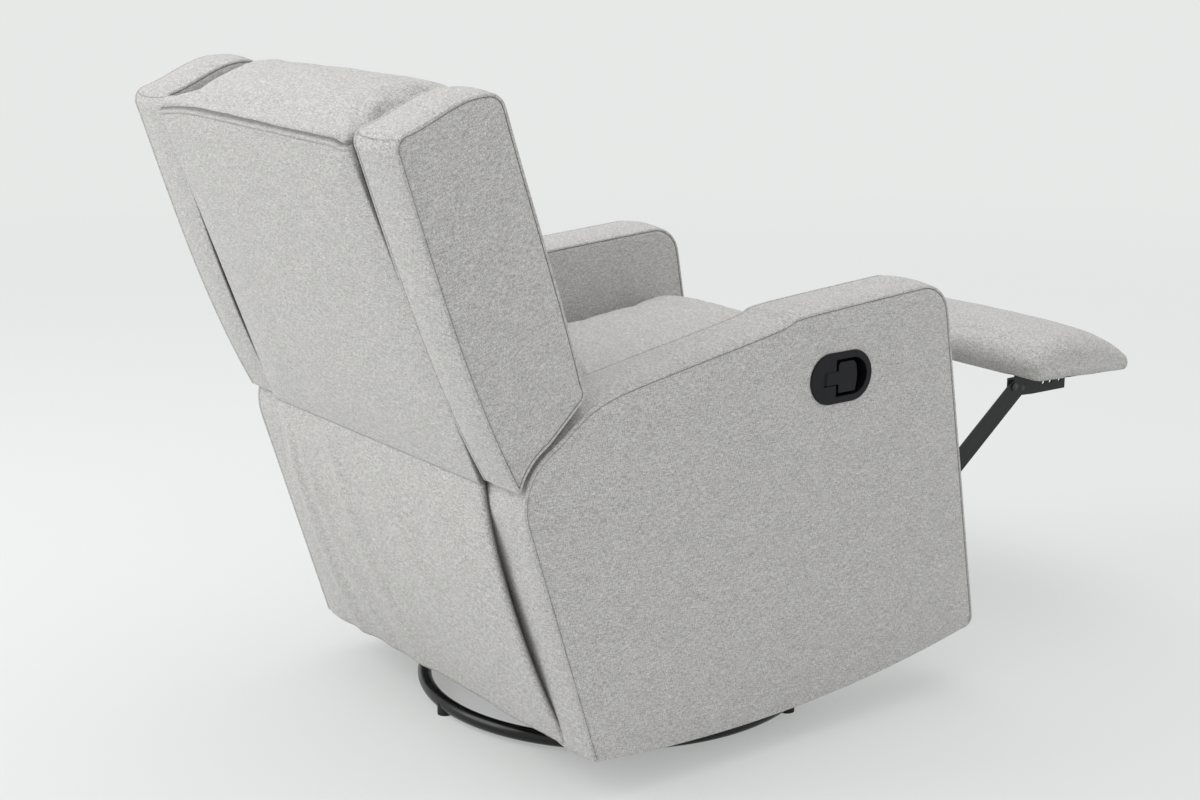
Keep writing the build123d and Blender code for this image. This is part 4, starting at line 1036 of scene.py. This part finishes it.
for vertex in drawn_out(bm, bm.faces[:]):
    vertex.co = back_point(vertex.co.x, up_the_back(vertex.co.y, vertex.co.z), PANEL_T - 0.0005)
back_cloth = to_piece("back_cloth_panel", bm)
finish_cloth(back_cloth, "back", "back_panel", lean=BACK_LEAN, divide=0)

# ---------- back cushion and head pillow
# Fibre-filled cushions between the wings: a lumbar cushion below, and a head pillow that
# rolls over the top of the frame. Soft, with slack covers; both press against the wings.
FRAME_FRONT = 0.054
LIP_BACK = 0.0082  # how far the pillow's rear lip comes back over the panel's seam
LIP_RISES = (0.460, 0.472)
LIP_DEPTH = (0.010, 0.055)  # it and the crown fade out forwards between these distances
CROWN_RISE = 0.018  # the pillow's rear top stands up to the panel's seam
CROWN_FALL = 0.004  # and its crest falls away to the wings
CROWN_FROM = (0.466, 0.492)


def along_back(points):
    """Heights up the back, and distances forward of its panel, of an array of points."""
    return up_the_back(points[:, 1], points[:, 2]), before_panel(points[:, 1], points[:, 2])


def between_wings(piece):
    """Press a back cushion's sides against the inner panels of the wings."""
    points = points_of(piece.data)
    room = panel_half(along_back(points)[0]) - 0.0015
    points[:, 0] = np.clip(points[:, 0], -room, room)
    move_points(piece.data, points)


forward = back_point(0, 0, 1) - back_point(0, 0, 0)
lumbar = filled_cover(
    "lumbar_cover", ["back_cushion"], inset=0.006, most=0.026, crease=(0.13, 0.0030, 8.7)
)
between_wings(lumbar)
press(lumbar, back_point(0, 0, FRAME_FRONT), -forward)
finish_cloth(lumbar, "back", "back_cushion", lean=BACK_LEAN)

pillow = filled_cover(
    "head_pillow_cover", ["head_pillow"], inset=0.004, most=0.022, crease=(0.16, 0.0018, 21.3),
    drawn_back=0.0,
)
between_wings(pillow)
press(pillow, back_point(0, 0, PANEL_T), -forward)
points = points_of(pillow.data)
up, ahead = along_back(points)
behind = 1 - soft_step(ahead, *LIP_DEPTH)
above_seam = up - np.array([panel_top(x) for x in points[:, 0]])
lip = LIP_BACK * soft_step(up, *LIP_RISES) - 0.0012 * np.exp(-((above_seam / 0.0045) ** 2))
raised = CROWN_RISE * soft_step(up, *CROWN_FROM) * behind
pillow_half = panel_half(CROWN_FROM[0] + 0.014)
near_wing = soft_step(np.abs(points[:, 0]), pillow_half - 0.10, pillow_half - 0.005)
raised -= CROWN_FALL * near_wing * soft_step(up, *CROWN_FROM) * (1 - behind)
upwards = back_point(0, 1, 0) - back_point(0, 0, 0)
move_points(pillow.data, points - np.outer(lip * behind, forward) + np.outer(raised, upwards))
finish_cloth(pillow, "back", "head_pillow", lean=BACK_LEAN)

# ---------- rear skirt
# A loose curtain of the same cloth hangs from the foot of the outside back and is tacked
# low at its hem, so that it can crumple when the back leans. Its side edges are turned in,
# and folds lean across it from its upper left.
SKIRT_DROP = (  # y and z down the middle
    (0.4376, 0.4707), (0.422, 0.366), (0.399, 0.276), (0.372, 0.201), (0.346, 0.129), (0.318, 0.074),
)
SKIRT_HALF = (0.2905, 0.3165)
SKIRT_COLUMNS = 170
SKIRT_ROWS = 96
SKIRT_T = 0.0014
SKIRT_TURN = 0.014
FOLDS = (  # place across at the top and at the hem, width, depth
    (0.262, 0.238, 0.014, 0.0085), (0.236, 0.150, 0.016, 0.0055), (0.133, 0.060, 0.020, 0.0080),
    (0.020, -0.170, 0.030, 0.0055), (-0.150, -0.230, 0.045, 0.0040),
)
# painted shade along the side edges, in the slits beside the arms, and along the top row under the back
# panel
SKIRT_EDGE_SHADE = 0.9
SKIRT_TOP_SHADE = 0.6
BLEND_LOW = (0, AXIS_Y + 0.43, 0.30)
BLEND_HIGH = (0, AXIS_Y + 0.43, 0.455)

drop_z = np.array([z for _, z in SKIRT_DROP])
drop_y = np.array([y for y, _ in SKIRT_DROP])
fit = np.polyfit(drop_z, drop_y, 3)
bm = bmesh.new()
painted_shade = bm.verts.layers.float.new("seam")
bmesh.ops.create_grid(bm, x_segments=SKIRT_COLUMNS, y_segments=SKIRT_ROWS, size=1.0)
for vertex in bm.verts:
    across, share = vertex.co.x, 0.5 - 0.5 * vertex.co.y
    half = SKIRT_HALF[0] + (SKIRT_HALF[1] - SKIRT_HALF[0]) * share
    x = half * across
    hem_wave = 0.0035 * noise.noise(Vector((9 * x, 0, 4.0))) * share
    z = drop_z[0] + (drop_z[-1] - drop_z[0]) * share + hem_wave
    z += 0.010 * soft_step(abs(x), half - 0.012, half) * share**6
    y = float(np.polyval(fit, z))
    loose = soft_step(share, -0.05, 0.35) * (1 - 0.45 * share)
    for top_x, hem_x, width, depth in FOLDS:
        place_x = top_x + (hem_x - top_x) * share
        y += depth * loose * exp(-(((x - place_x) / (width * (0.6 + share))) ** 2))
    y += 0.0020 * noise.noise(Vector((6 * x, 5 * z, 2.0))) * soft_step(share, 0, 0.2)
    y -= 0.009 * soft_step(abs(x), half - SKIRT_TURN, half + 0.004) ** 2
    vertex.co = (x, AXIS_Y + y, z)
    # Painted shade on the side edges and the top row.
    at_edge = soft_step(abs(x), half - 0.005, half - 0.001)
    vertex[painted_shade] = max(SKIRT_EDGE_SHADE * at_edge, SKIRT_TOP_SHADE * (share < 0.003))
skirt = to_piece("skirt_cloth", bm)
skirt.data.materials.append(cover_cloth)
skirt.data.shade_smooth()
lay_weave(skirt.data, -BACK_LEAN)
thick = skirt.modifiers.new("cloth", "SOLIDIFY")
thick.thickness = SKIRT_T
thick.offset = 0
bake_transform(skirt, "chassis", "back", start=BLEND_LOW, end=BLEND_HIGH)
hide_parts("rear_skirt")

# ---------- footrest
# A plywood board padded with foam, covered over its top and sides; the cover is darted at
# its rear corners and stapled below, where thin black lining closes it. The seat's front
# rail, which shows over the folded footrest, is wrapped in the same lining.
FOOTREST_REAR = (AXIS_Y - 0.686, 0.440)
FOOTREST_FRONT = (AXIS_Y - 0.908, 0.430)
PAD_OUT = 0.0014  # the cover stands off the board by this
PAD_BELOW = 0.0006  # and reaches below it by this
DART = (0.0032, 0.0028, 0.03)  # depth, width and reach from the corner
LINING_T = 0.0014
LINING_IN = 0.0035
LINING_BLACK = (0.013, 0.013, 0.014, 1)

footrest_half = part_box("footrest_pad")[1].x
pad = filled_cover(
    "footrest_cover", ["footrest_pad", "footrest_board"], inset=-PAD_OUT, most=0.009,
    crease=(0.12, 0.0010, 5.9), voxel=0.0038, drawn_back=0.0,
)
slope = Vector((0, FOOTREST_FRONT[0] - FOOTREST_REAR[0], FOOTREST_FRONT[1] - FOOTREST_REAR[1]))
below = Vector((0, -slope.z, slope.y)).normalized()
press(pad, Vector((0, *FOOTREST_REAR)) + below * PAD_BELOW, below)
points = points_of(pad.data)
for way in (-1, 1):
    corner = np.array((way * footrest_half, FOOTREST_REAR[0]))
    off = points[:, :2] - corner
    across_dart = (off[:, 0] + way * off[:, 1]) / 2**0.5
    near_dart = np.exp(-((across_dart / DART[1]) ** 2)) * (np.hypot(*off.T) < DART[2])
    height = 1 - soft_step(points[:, 2], FOOTREST_REAR[1] + 0.016, FOOTREST_REAR[1] + 0.032)
    points[:, :2] -= np.outer(near_dart * height * DART[0], (way / 2**0.5, 1 / 2**0.5))
move_points(pad.data, points)
finish_cloth(pad, "footrest", "footrest_pad", divide=0)
dress(wood_across, "footrest_board")

lining_finish = moulded_plastic("lining", LINING_BLACK, 0.8, 0.0002)
dress(lining_finish, "seat_rail_front")
half = footrest_half - LINING_IN
rear_at = Vector((0, *FOOTREST_REAR)) + slope.normalized() * LINING_IN
front_at = Vector((0, *FOOTREST_FRONT)) - slope.normalized() * LINING_IN
bm = bmesh.new()
corners = [(half, rear_at), (-half, rear_at), (-half, front_at), (half, front_at)]
sheet = [bm.verts.new(at + Vector((x, 0, 0)) - below * PAD_BELOW) for x, at in corners]
bmesh.ops.translate(bm, vec=below * LINING_T, verts=drawn_out(bm, [bm.faces.new(sheet)]))
lining = to_piece("footrest_lining", bm)
lining.data.materials.append(lining_finish)
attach(lining, "footrest")
